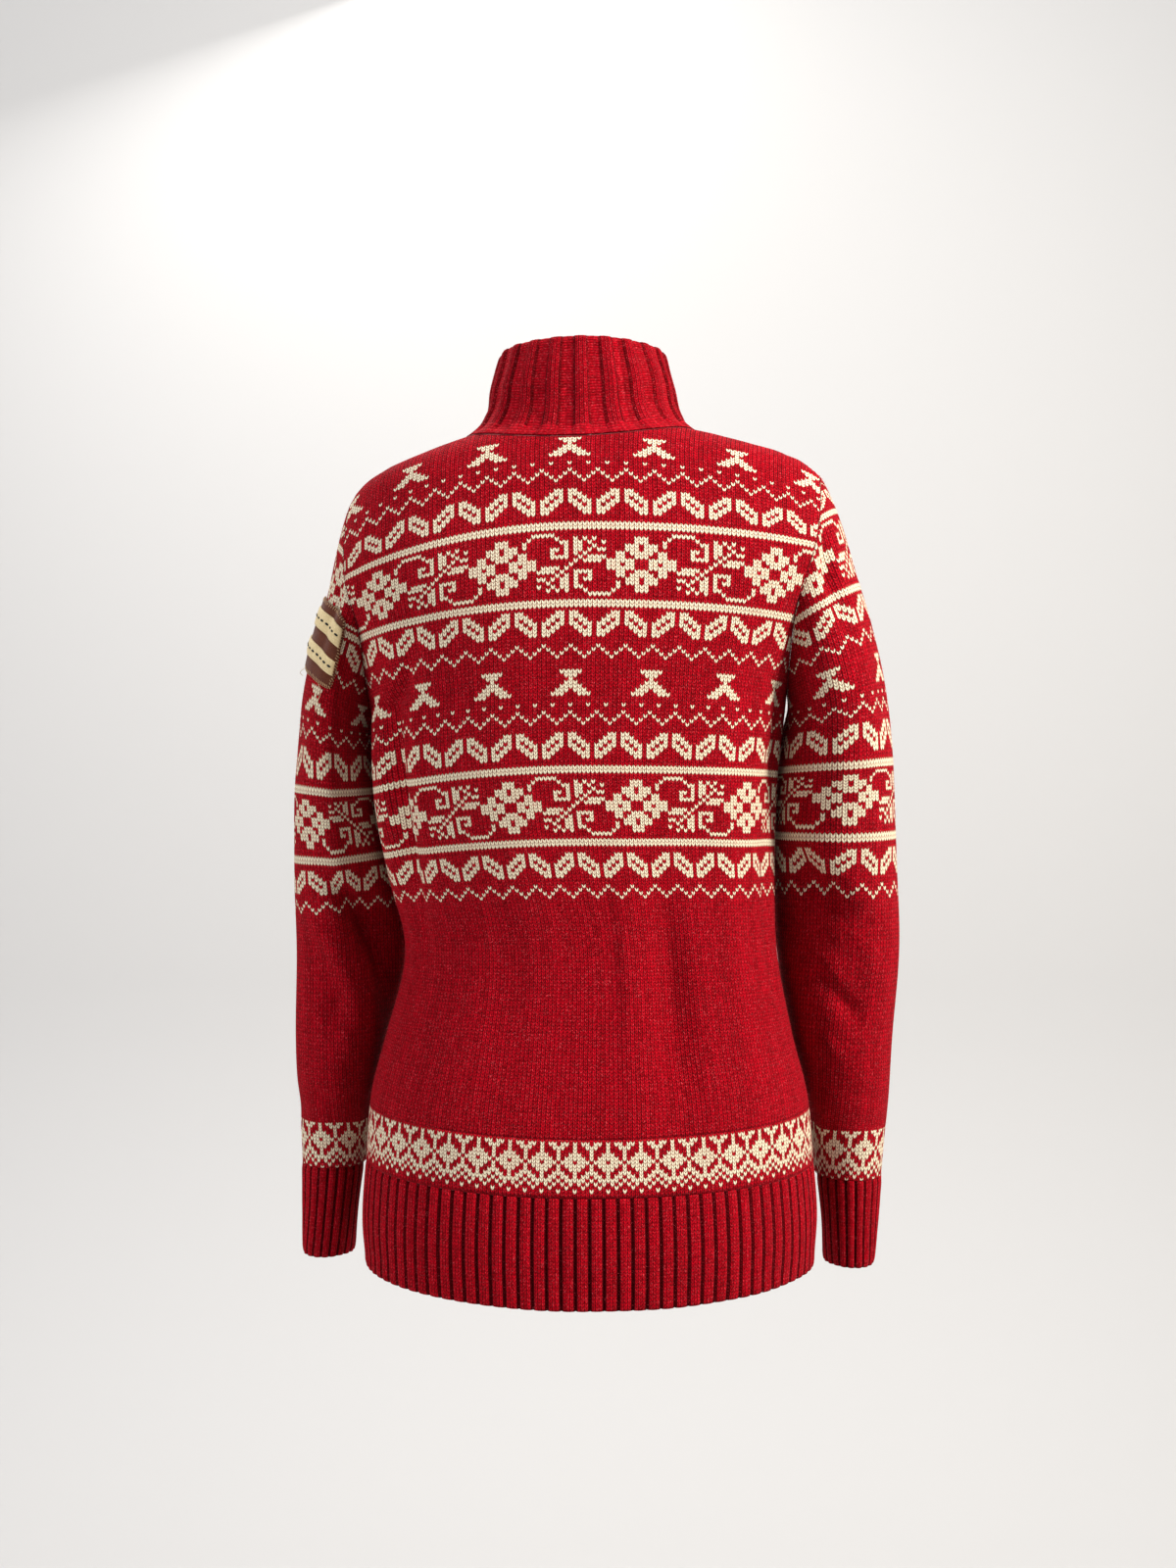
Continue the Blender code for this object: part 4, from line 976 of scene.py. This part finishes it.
def collar_layers():
    """The ribbed collar: three columns of knit and four of purl to each rib, and a foot of purl.
    Its inner points and normals are given too."""
    span, rise = ribbed(COLLAR_RIBS, [0.0, 0.145, 0.29, 0.435, 0.5, 0.715, 0.935],
                        [0.0006, 0.0014, 0.0014, 0.0006, -0.0013, -0.0006, -0.0013])
    levels, normal, base = collar_grid(span)
    ribs = np.interp(levels, [0, 0.09, 0.24, 0.9, 1.0], [0.5, 0.9, 1.0, 1.0, 0.5])[:, None]
    lip = 0.0013 * step(0.955, 1.0, levels)[:, None] ** 1.5
    wave = 0.0006 * np.sin(span * 31) * (np.sin(levels * 7) * step(0.0, 0.2, levels))[:, None]
    outer = base + normal * (rise * ribs + wave - lip)[..., None]
    inner = base - normal * (COLLAR_WALL - lip - wave)[..., None]
    flag = np.tile([0.0, 0.0, 0.0, 1.0, 1.0, 1.0, 1.0], (len(levels) - 1, COLLAR_RIBS))
    # Purl columns beside the knit ones are darkened most, as painted shade in the groove between them; the
    # purl rows of the foot are not darkened
    dark = np.tile([0.0, 0.0, 0.0, 0.52, 0.06, 0.06, 0.52], (len(levels) - 1, COLLAR_RIBS))
    flag[:4], dark[:4] = 1.0, 0.0
    return [layer(outer, inner, flag=flag, dark=dark)], inner, normal


PANELS = {"back": (-1, 0), "front_left": (1, -1), "front_right": (1, 1)}
garment = {}
for node, (face, side) in PANELS.items():
    garment[node] = cloth(node + "_knit", torso_panel(face, side), KNIT)
for node, (face, side) in PANELS.items():
    garment[node + "_rib"] = cloth(node + "_rib_knit", band_layers(face, side), RIB_KNIT)
for side, word in SIDES:
    garment["sleeve_" + word] = cloth(f"sleeve_{word}_knit", sleeve_layers(side), KNIT)
    garment["cuff_" + word] = cloth(f"cuff_{word}_knit", cuff_layers(side), RIB_KNIT)
collar_parts, collar_inner, collar_away = collar_layers()
garment["collar"] = cloth("collar_knit", collar_parts, COLLAR_KNIT)
CUTS = {"back": ("back_wool", (0.484, 0.592)), "front_left": ("front_wool", (0.245, 0.592)),
        "front_right": ("front_wool", (0.245, 0.592)), "back_rib": ("rib_wool", (0.52, 0.088)),
        "front_left_rib": ("rib_wool", (0.26, 0.088)), "front_right_rib": ("rib_wool", (0.26, 0.088)),
        "sleeve_left": ("sleeve_wool", (0.33, 0.6)), "sleeve_right": ("sleeve_wool", (0.33, 0.6)),
        "cuff_left": ("rib_wool", (0.2, 0.08)), "cuff_right": ("rib_wool", (0.2, 0.08)),
        "collar": ("collar_wool", (0.62, 0.12))}
for node, (slot_name, flat) in CUTS.items():
    declare(garment[node], node, slot_name)


def woven_material(name, colour, dark, scale):
    """A close flat weave, such as zip tape, from two crossing waves."""
    n = Nodes(name)
    x, _, z = n.split(n.place())
    one, two = n.math("SINE", (x + z) * scale), n.math("SINE", (x - z) * scale)
    share = (one * two + 1.0) * 0.5 * 0.5 + n.noise(900.0, 3.0, 0.6) * 0.5
    tone = n.mix(n.span(share, 0.25, 0.75), dark, colour)
    tone = n.mix(n.span(n.noise(90.0), 0.35, 0.7, 0.0, 0.35), tone, dark)
    return n.finish(share, 0.5, 0.0002, Base_Color=tone, Roughness=0.8, Specular_IOR_Level=0.2)


def felt_material(name, colour, dark):
    n = Nodes(name)
    fibre, blot = n.noise(1100.0, 4.0, 0.7), n.noise(160.0, 3.0, 0.55)
    tone = n.mix(n.span(fibre, 0.3, 0.72), dark, colour)
    tone = n.mix(n.span(blot, 0.4, 0.75, 0.0, 0.5), tone, dark)
    return n.finish(fibre + blot * 0.6, 0.7, 0.0005, Base_Color=tone, Roughness=0.95,
                    Specular_IOR_Level=0.12, Sheen_Weight=0.15, Sheen_Roughness=0.5)


def brass_material(name):
    n = Nodes(name)
    smear = n.noise(260.0, 4.0, 0.6)
    tone = n.mix(n.span(smear, 0.38, 0.68), (0.5, 0.39, 0.2), (0.24, 0.17, 0.09))
    return n.finish(n.noise(1400.0), 0.12, 0.0001, Base_Color=tone, Metallic=1.0,
                    Roughness=n.span(smear, 0.3, 0.7, 0.28, 0.52))


def thread_material(name, colour, dark):
    n = Nodes(name)
    x, y, z = n.split(n.place())
    ply = n.math("SINE", (x + y + z) * 9000.0)
    return n.finish(ply, 0.4, 0.0001, Base_Color=n.mix(n.span(ply, -1.0, 1.0), dark, colour), Roughness=0.7)


def mesh_object(name, points, faces, mat, smooth_faces=True):
    mesh = bpy.data.meshes.new(name)
    mesh.from_pydata([tuple(map(float, p)) for p in points], [], [tuple(map(int, f)) for f in faces])
    mesh.update()
    if smooth_faces:
        mesh.shade_smooth()
    return placed(name, mesh, mat)


def tube_faces(rings, sides, base=0, loop=False):
    """Faces of rings of points, with a cap at each end unless they close on themselves."""
    corners = [(r % rings * sides, (r + 1) % rings * sides) for r in range(rings if loop else rings - 1)]
    faces = [(base + low + k, base + low + (k + 1) % sides, base + high + (k + 1) % sides, base + high + k)
             for low, high in corners for k in range(sides)]
    if not loop:
        faces += [tuple(base + k for k in range(sides - 1, -1, -1)),
                  tuple(base + (rings - 1) * sides + k for k in range(sides))]
    return faces


def capsules(name, starts, ends, ups, wide, thick, mat, name_of_slot):
    """Short rounded stitches of thread from starts to ends, lying on a surface."""
    starts, ends, ups = pose(starts), pose(ends), np.array(ups)
    ring = [(math.cos(t), math.sin(t)) for t in np.arange(6) * math.pi / 3]
    spots = [(0.0, 0.35), (0.22, 0.9), (0.5, 1.0), (0.78, 0.9), (1.0, 0.35)]
    points, faces = [], []
    for a, b, up in zip(starts, ends, ups):
        side = unit(np.cross(b - a, up))
        base = len(points)
        for share, swell in spots:
            middle = a + (b - a) * share + up * thick * (0.35 * math.sin(math.pi * share) - 0.15)
            for c, s in ring:
                points.append(middle + side * wide * swell * c + up * thick * swell * s)
        faces += tube_faces(len(spots), 6, base)
    dress(mesh_object(name, points, faces, mat), name_of_slot)


def front_edge(side, inset=0.0):
    """Outer points, normals and heights down a front's zip edge, from the hem to the neck."""
    table = FACES[1]
    z = np.linspace(HEM_Z + 0.001, neck_z(ZIP_GAP, 1) - 0.0015, 200)
    p = table.points(np.full(z.shape, side * (ZIP_GAP + inset)), z)
    return p, table.normals(p), z


def tape(side):
    """Both faces of the zip tape behind a front's edge and the collar's edge, that edge's line, and
    the directions back from it."""
    p, normal, z = front_edge(side)
    thick = np.where(z < RIB_TOP_Z, RIB_WALL, WALL)[:, None]
    column, next_column = (0, 3) if side > 0 else (-1, -4)
    line = np.concatenate([p - normal * (thick + 0.0002), collar_inner[2:-2, column]])
    back = np.concatenate([-normal, -collar_away[2:-2, column]])
    far = np.concatenate([p - normal * thick + [side * 0.01, 0, 0], collar_inner[2:-2, next_column]])
    across = far - line
    across = unit(across - back * np.sum(across * back, -1, keepdims=True))
    face, rear = (np.stack([line + across * w + back * deep for w in np.linspace(-0.0021, 0.0098, 6)], 1)
                  for deep in (0.0004, 0.0013))
    return face, rear, line, back


TAPE = woven_material("zip_tape_weave", (0.235, 0.006, 0.016), (0.09, 0.002, 0.006), 5200.0)
BRASS = brass_material("old_brass")
TAN = thread_material("tan_thread", (0.62, 0.4, 0.2), (0.36, 0.2, 0.09))
CREAM_THREAD = thread_material("cream_thread", (0.8, 0.68, 0.44), (0.52, 0.38, 0.2))
RED_THREAD = thread_material("red_thread", (0.33, 0.004, 0.014), (0.16, 0.001, 0.006))
FELT = felt_material("brown_felt", (0.155, 0.04, 0.018), (0.07, 0.017, 0.009))
FELT_CREAM = felt_material("cream_felt", (0.82, 0.69, 0.4), (0.55, 0.4, 0.19))
FELT_DARK = felt_material("dark_felt", (0.022, 0.022, 0.02), (0.006, 0.006, 0.006))

lines = {}
for side, word in SIDES:
    face, rear, line, back = tape(side)
    lines[side] = (line, back)
    obj = cloth("zip_tape_woven_" + word, [layer(face, rear)], TAPE)
    declare(obj, "zip_tape_" + word, "zip_tape")
    p, normal, z = front_edge(side, 0.0062)
    spots = np.arange(4, 196, 2.0)
    starts, ends = (sample(p, np.arange(200), places) for places in (spots, spots + 1.15))
    ups = sample(normal, np.arange(200), spots)
    fold = ups * fold_depth(starts[:, 0] / 0.18, starts[:, 2], 1)[:, None]
    capsules("front_stitches_" + word, starts + fold, ends + fold, ups, 0.00035, 0.0003, RED_THREAD,
             "front_wool")

# Teeth: each is a small block on one side of the chain, its next on the other
centre = (lines[1][0] + lines[-1][0]) / 2
behind = unit(lines[1][1] + lines[-1][1])
run = lengths(centre)
spots = np.arange(0.002, run[-1] - 0.002, 0.0013)
middle = sample(centre, run, spots)
rearward = unit(sample(behind, run, spots))
tangent = unit(np.gradient(middle, axis=0))
TOOTH_FACES = ((0, 1, 3, 2), (2, 3, 5, 4), (4, 5, 7, 6), (6, 7, 1, 0), (0, 2, 4, 6), (1, 7, 5, 3))
points, faces = [], []
for k, (spot, rear_way, up) in enumerate(zip(middle, rearward, tangent)):
    side = unit(np.cross(up, rear_way)) * (1 if k % 2 else -1)
    base = len(points)
    for a, b, c in ((-0.2, 0.0, 0.42), (1.0, 0.0, 0.42), (1.0, 1.0, 0.42), (-0.2, 1.0, 0.3)):
        for sign in (-1, 1):
            points.append(spot + side * a * 0.0024 - rear_way * (0.0002 + b * 0.0019)
                          + up * sign * c * 0.0022)
    faces += [tuple(base + i for i in face) for face in TOOTH_FACES]
teeth = mesh_object("zip_teeth_row", pose(points), faces, BRASS, False)
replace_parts(dress(teeth, "zip_teeth"), "zip_chain")

for node in ("zip_slider", "zip_pull"):
    for material_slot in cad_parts[node].material_slots:
        material_slot.material = BRASS


def patch_points(across, down, lift):
    """Points over the left sleeve, across and down the patch from -1 to 1, lifted off it."""
    p, q = np.meshgrid(across, down)
    round_p = p * (1 - 0.1 * q**4)
    round_q = q * (1 - 0.1 * p**4)
    ring = 3.62 + 0.74 * round_q - 0.1 * round_p
    angle = np.radians(-53 + 46 * round_p)
    point, normal = ring_place(-1, ring, angle)
    fold = sleeve_fold(-1, ring, angle)[..., None]
    return point + normal * (fold + lift), normal


def patch_stitches(name, places, lifts, wide, thick, mat):
    """Stitches on the patch, from one place across and down it to another."""
    starts, ends, ups = [], [], []
    for a, b, c, d in places:
        inside, up = patch_points([a], [b], lifts[0])
        outside, _ = patch_points([c], [d], lifts[1])
        starts.append(inside[0, 0])
        ends.append(outside[0, 0])
        ups.append(up[0, 0])
    capsules(name, starts, ends, ups, wide, thick, mat, "patch_stripe")


across, down = np.linspace(-1, 1, 33), np.linspace(-1, 1, 41)
edge = np.maximum(np.abs(across), np.abs(down)[:, None])
sink = 0.0004 * step(0.9, 1.0, edge)[..., None]
top, normal = patch_points(across, down, 0.0026)
bottom, _ = patch_points(across, down, 0.0012)
ripple = 0.00018 * np.sin(across * 7)[:, None] * np.sin(down * 5 + 1)[:, None, None]
patch = cloth("patch_felt_base", [layer(top + normal * (ripple - sink), bottom)], FELT)
declare(patch, "sleeve_patch", "patch_felt")
for word, low, high in (("upper", -0.72, -0.18), ("lower", 0.22, 0.62)):
    rows = np.linspace(low, high, 9)
    top, normal = patch_points(across * 0.93, rows, 0.004)
    bottom, _ = patch_points(across * 0.93, rows, 0.003)
    rim = np.maximum(step(0.85, 1.0, np.abs(across)),
                     step(0.6, 1.0, np.abs(np.linspace(-1, 1, 9)))[:, None])[..., None]
    face, rear = top - normal * 0.0004 * rim, bottom - normal * 0.0004
    stripe = cloth("patch_band_" + word, [layer(face, rear)], FELT_CREAM)
    declare(stripe, "patch_stripe_" + word, "patch_stripe")
places = [(place, row, place + 0.12, row) for row in (-0.45, 0.42) for place in np.linspace(-0.82, 0.7, 9)]
patch_stitches("patch_dark_stitches", places, (0.0041, 0.0041), 0.0009, 0.0005, FELT_DARK)

# Whip stitches over the patch's edge, unevenly long
places = []
for t in np.arange(0, 1, 1 / WHIP_STITCHES):
    corner, part = int(t * 4), t * 4 % 1 * 2 - 1
    a, b = [(part, -1), (1, part), (-part, 1), (-1, -part)][corner]
    reach = 0.9 + 0.03 * rng.random()
    skew = 0.02 * (rng.random() - 0.5)
    places.append((a * reach + skew, b * reach, a * 1.035, b * 1.035 + skew))
patch_stitches("patch_edge_stitches", places, (0.0027, 0.0014), 0.00042, 0.00038, TAN)


def tube(name, curve, radius, mat, name_of_slot, loop=False, sides=8):
    """Yarn along a line of points."""
    curve = pose(curve)
    tangent = unit(np.roll(curve, -1, 0) - np.roll(curve, 1, 0) if loop else np.gradient(curve, axis=0))
    side = unit(np.cross(tangent, np.array([0.31, 0.21, 0.93])))
    other = np.cross(tangent, side)
    turns = np.arange(sides) * 2 * math.pi / sides
    radius = np.broadcast_to(radius, len(curve))[:, None, None]
    rings = curve[:, None] + radius * (side[:, None] * np.cos(turns)[None, :, None]
                                       + other[:, None] * np.sin(turns)[None, :, None])
    faces = tube_faces(len(curve), sides, loop=loop)
    dress(mesh_object(name, rings.reshape(-1, 3), faces, mat), name_of_slot)


def seam(name, line, inward, name_of_slot, depth=0.0013, loop=False):
    """The sewn chain in a seam, between the edges of two pieces."""
    run = lengths(line)
    spots = np.arange(0, run[-1], 0.0012)
    way = unit(sample(inward, run, spots))
    swell = 0.00075 + 0.00012 * np.sin(spots / STITCH * 2 * math.pi)
    tube(name, sample(line, run, spots) + way * depth, swell, SEAM_WOOL, name_of_slot, loop, 6)


SEAM_WOOL = felt_material("seam_wool", (0.3, 0.001, 0.006), (0.1, 0.0003, 0.002))
for side, word in SIDES:
    mirror = np.array([side, 1.0, 1.0])
    loop = np.concatenate([ARM_BACK, ARM_FRONT[-2:0:-1]]) * mirror
    middle = unit(np.array([side * 0.13, 0.0, -0.12]) - loop)
    seam("armhole_seam_" + word, loop, unit(to_shoulder(loop, side) + 0.4 * middle), "sleeve_wool",
         0.0012, True)
    z = np.linspace(HEM_Z + 0.002, UNDER_Z - 0.001, 240)
    edge = np.stack([side * smooth(TORSO, 1, z), 0 * z, z], -1)
    seam("side_seam_" + word, edge, np.tile([-side, 0.0, 0.0], (240, 1)), "back_wool")
    x = np.linspace(NECK_X + 0.001, 0.186, 80)
    ridge = np.stack([side * x, 0 * x, read(SHOULDER, x)], -1)
    seam("shoulder_seam_" + word, ridge, np.tile([-side * 0.3, 0.0, -1.0], (80, 1)), "back_wool")
    ring = np.full(160, ring_at(CUFF_TOP_Z) - 0.003)
    turn = np.arange(160) / 160 * 2 * math.pi
    edge, normal = ring_place(side, ring, turn)
    seam("cuff_seam_" + word, edge, -normal, "rib_wool", 0.0014, True)
for node, (face, side) in PANELS.items():
    table = FACES[face]
    s = np.linspace(*extent(side, ZIP_GAP, float(table.limit(RIB_TOP_Z)) - 0.001), 200)
    edge = table.points(s, np.full(200, RIB_TOP_Z - SEAM))
    seam("hem_seam_" + node, edge, -table.normals(edge), "rib_wool", 0.0014)
foot = neck_foot()
seam("neck_seam", foot, foot * [-1, -1, 0] - [0, 0, 0.05], "collar_wool", 0.0005)

# Two loose ends of thread under and beside the patch
start, way = patch_points([-0.55, 0.86], [1.03], 0.0016)
t = np.linspace(0, 1, 40)[:, None]
for number, reach in enumerate((0.021, 0.009)):
    curl = 0.0022 * (np.sin(5.5 * t + number) - math.sin(number)) * [1, 0, 0] - reach * t * [0, 0, 1]
    hang = start[0, number] + curl + way[0, number] * (0.0008 + 0.0012 * t)
    tube(f"loose_thread_{number + 1}", hang, 0.00022, CREAM_THREAD, "patch_stripe")


def fuzz(pieces, count):
    """Fine loose fibres that stand off the wool, as narrow bent ribbons."""
    found = []
    share = count / sum(len(piece.data.polygons) for piece in pieces)
    for piece in pieces:
        polygons = piece.data.polygons
        spots = np.empty((2, len(polygons), 3))
        for row, kind in zip(spots, ("center", "normal")):
            polygons.foreach_get(kind, row.ravel())
        found.append(spots[:, rng.choice(len(polygons) // 2, int(share * len(polygons)), replace=False)])
    start, way = np.concatenate(found, 1)
    total = len(start)
    drift = rng.normal(size=(total, 3))
    drift = unit(drift - way * np.sum(drift * way, -1, keepdims=True))
    long = rng.uniform(0.0012, 0.0038, (total, 1))
    side = np.cross(way, drift) * 0.00003
    bend = long * (way * 0.55 + drift * 0.35)
    tip = long * (way * rng.uniform(0.4, 0.9, (total, 1)) + drift * rng.uniform(0.5, 1.0, (total, 1)))
    start = start - way * 0.0002
    points = np.stack([start - side, start + side, start + bend - side, start + bend + side,
                       start + tip - side * 0.4, start + tip + side * 0.4], 1).reshape(-1, 3)
    first = np.arange(total)[:, None] * 6
    faces = np.concatenate([first + [0, 1, 3, 2], first + [2, 3, 5, 4]])
    mesh = quad_mesh("wool_fuzz", points, faces)
    mesh.update(calc_edges=True)
    n = Nodes("fuzz_wool")
    tone = n.mix(n.span(n.noise(900.0), 0.35, 0.65), (0.62, 0.012, 0.03), (0.8, 0.12, 0.14))
    dress(placed("wool_fuzz", mesh, n.finish(Base_Color=tone, Roughness=0.8)), "back_wool")


fuzz([garment[node] for node in CUTS], FIBRES)


def cove():
    """A pale floor that curves up into a pale wall behind."""
    turns = np.arange(13) / 12 * math.pi / 2
    curve = [(1.2 + 0.8 * math.sin(turn), FLOOR_Z + 0.8 * (1 - math.cos(turn))) for turn in turns]
    line = [(-6.0, FLOOR_Z), *curve, (2.0, 4.0)]
    points = [(x, y, z) for y, z in line for x in (-6.0, 6.0)]
    faces = [(2 * k, 2 * k + 1, 2 * k + 3, 2 * k + 2) for k in range(len(line) - 1)]
    mesh = bpy.data.meshes.new("cove")
    mesh.from_pydata(points, [], faces)
    mesh.shade_smooth()
    n = Nodes("pale_floor")
    return placed("cove", mesh, n.finish(Base_Color=(0.58, 0.575, 0.565), Roughness=0.8))


def lamp(name, place, target, size, power, colour=(1.0, 1.0, 1.0)):
    data = bpy.data.lights.new(name, "AREA")
    data.shape = "RECTANGLE"
    data.size, data.size_y = size
    data.energy = power
    data.color = colour
    obj = placed(name, data)
    obj.location = place
    obj.rotation_euler = (Vector(target) - Vector(place)).to_track_quat("-Z", "Y").to_euler()
    return obj


floor = cove()
lights = [
    lamp("key", (1.8, -0.98, 0.78), (0.0, 0.0, -0.3), (0.5, 0.5), 84, (1.0, 0.95, 0.88)),
    lamp("fill", (-2.3, -1.0, 0.1), (0.0, 0.0, -0.35), (0.9, 1.4), 34, (0.97, 0.97, 1.0)),
    lamp("top", (0.2, 0.4, 1.9), (0.0, 0.0, -0.1), (1.8, 1.4), 9, (1.0, 0.98, 0.95)),
    lamp("front_soft", (-0.6, 1.5, 1.6), (0.0, 0.0, -0.3), (1.4, 1.0), 34, (1.0, 0.98, 0.96)),
    lamp("wall_wash", (0.0, -0.4, 2.4), (0.0, 2.0, 0.1), (2.5, 1.0), 40),
]
bpy.context.scene.view_settings.view_transform = "Standard"
world = bpy.data.worlds.new("studio")
bpy.context.scene.world = world
world.use_nodes = True
sky = world.node_tree.nodes["Background"].inputs
sky[0].default_value, sky[1].default_value = (0.9, 0.92, 1.0, 1), 0.32

camera = bpy.data.cameras.new("camera")
camera.sensor_width = 36.0
camera.lens = 36.0 * 1805 / 1600
camera_object = placed("camera", camera)
camera_object.location = (0.0, -1.42, -0.274)
camera_object.rotation_euler = (math.pi / 2, 0.0, 0.0)
bpy.context.scene.camera = camera_object
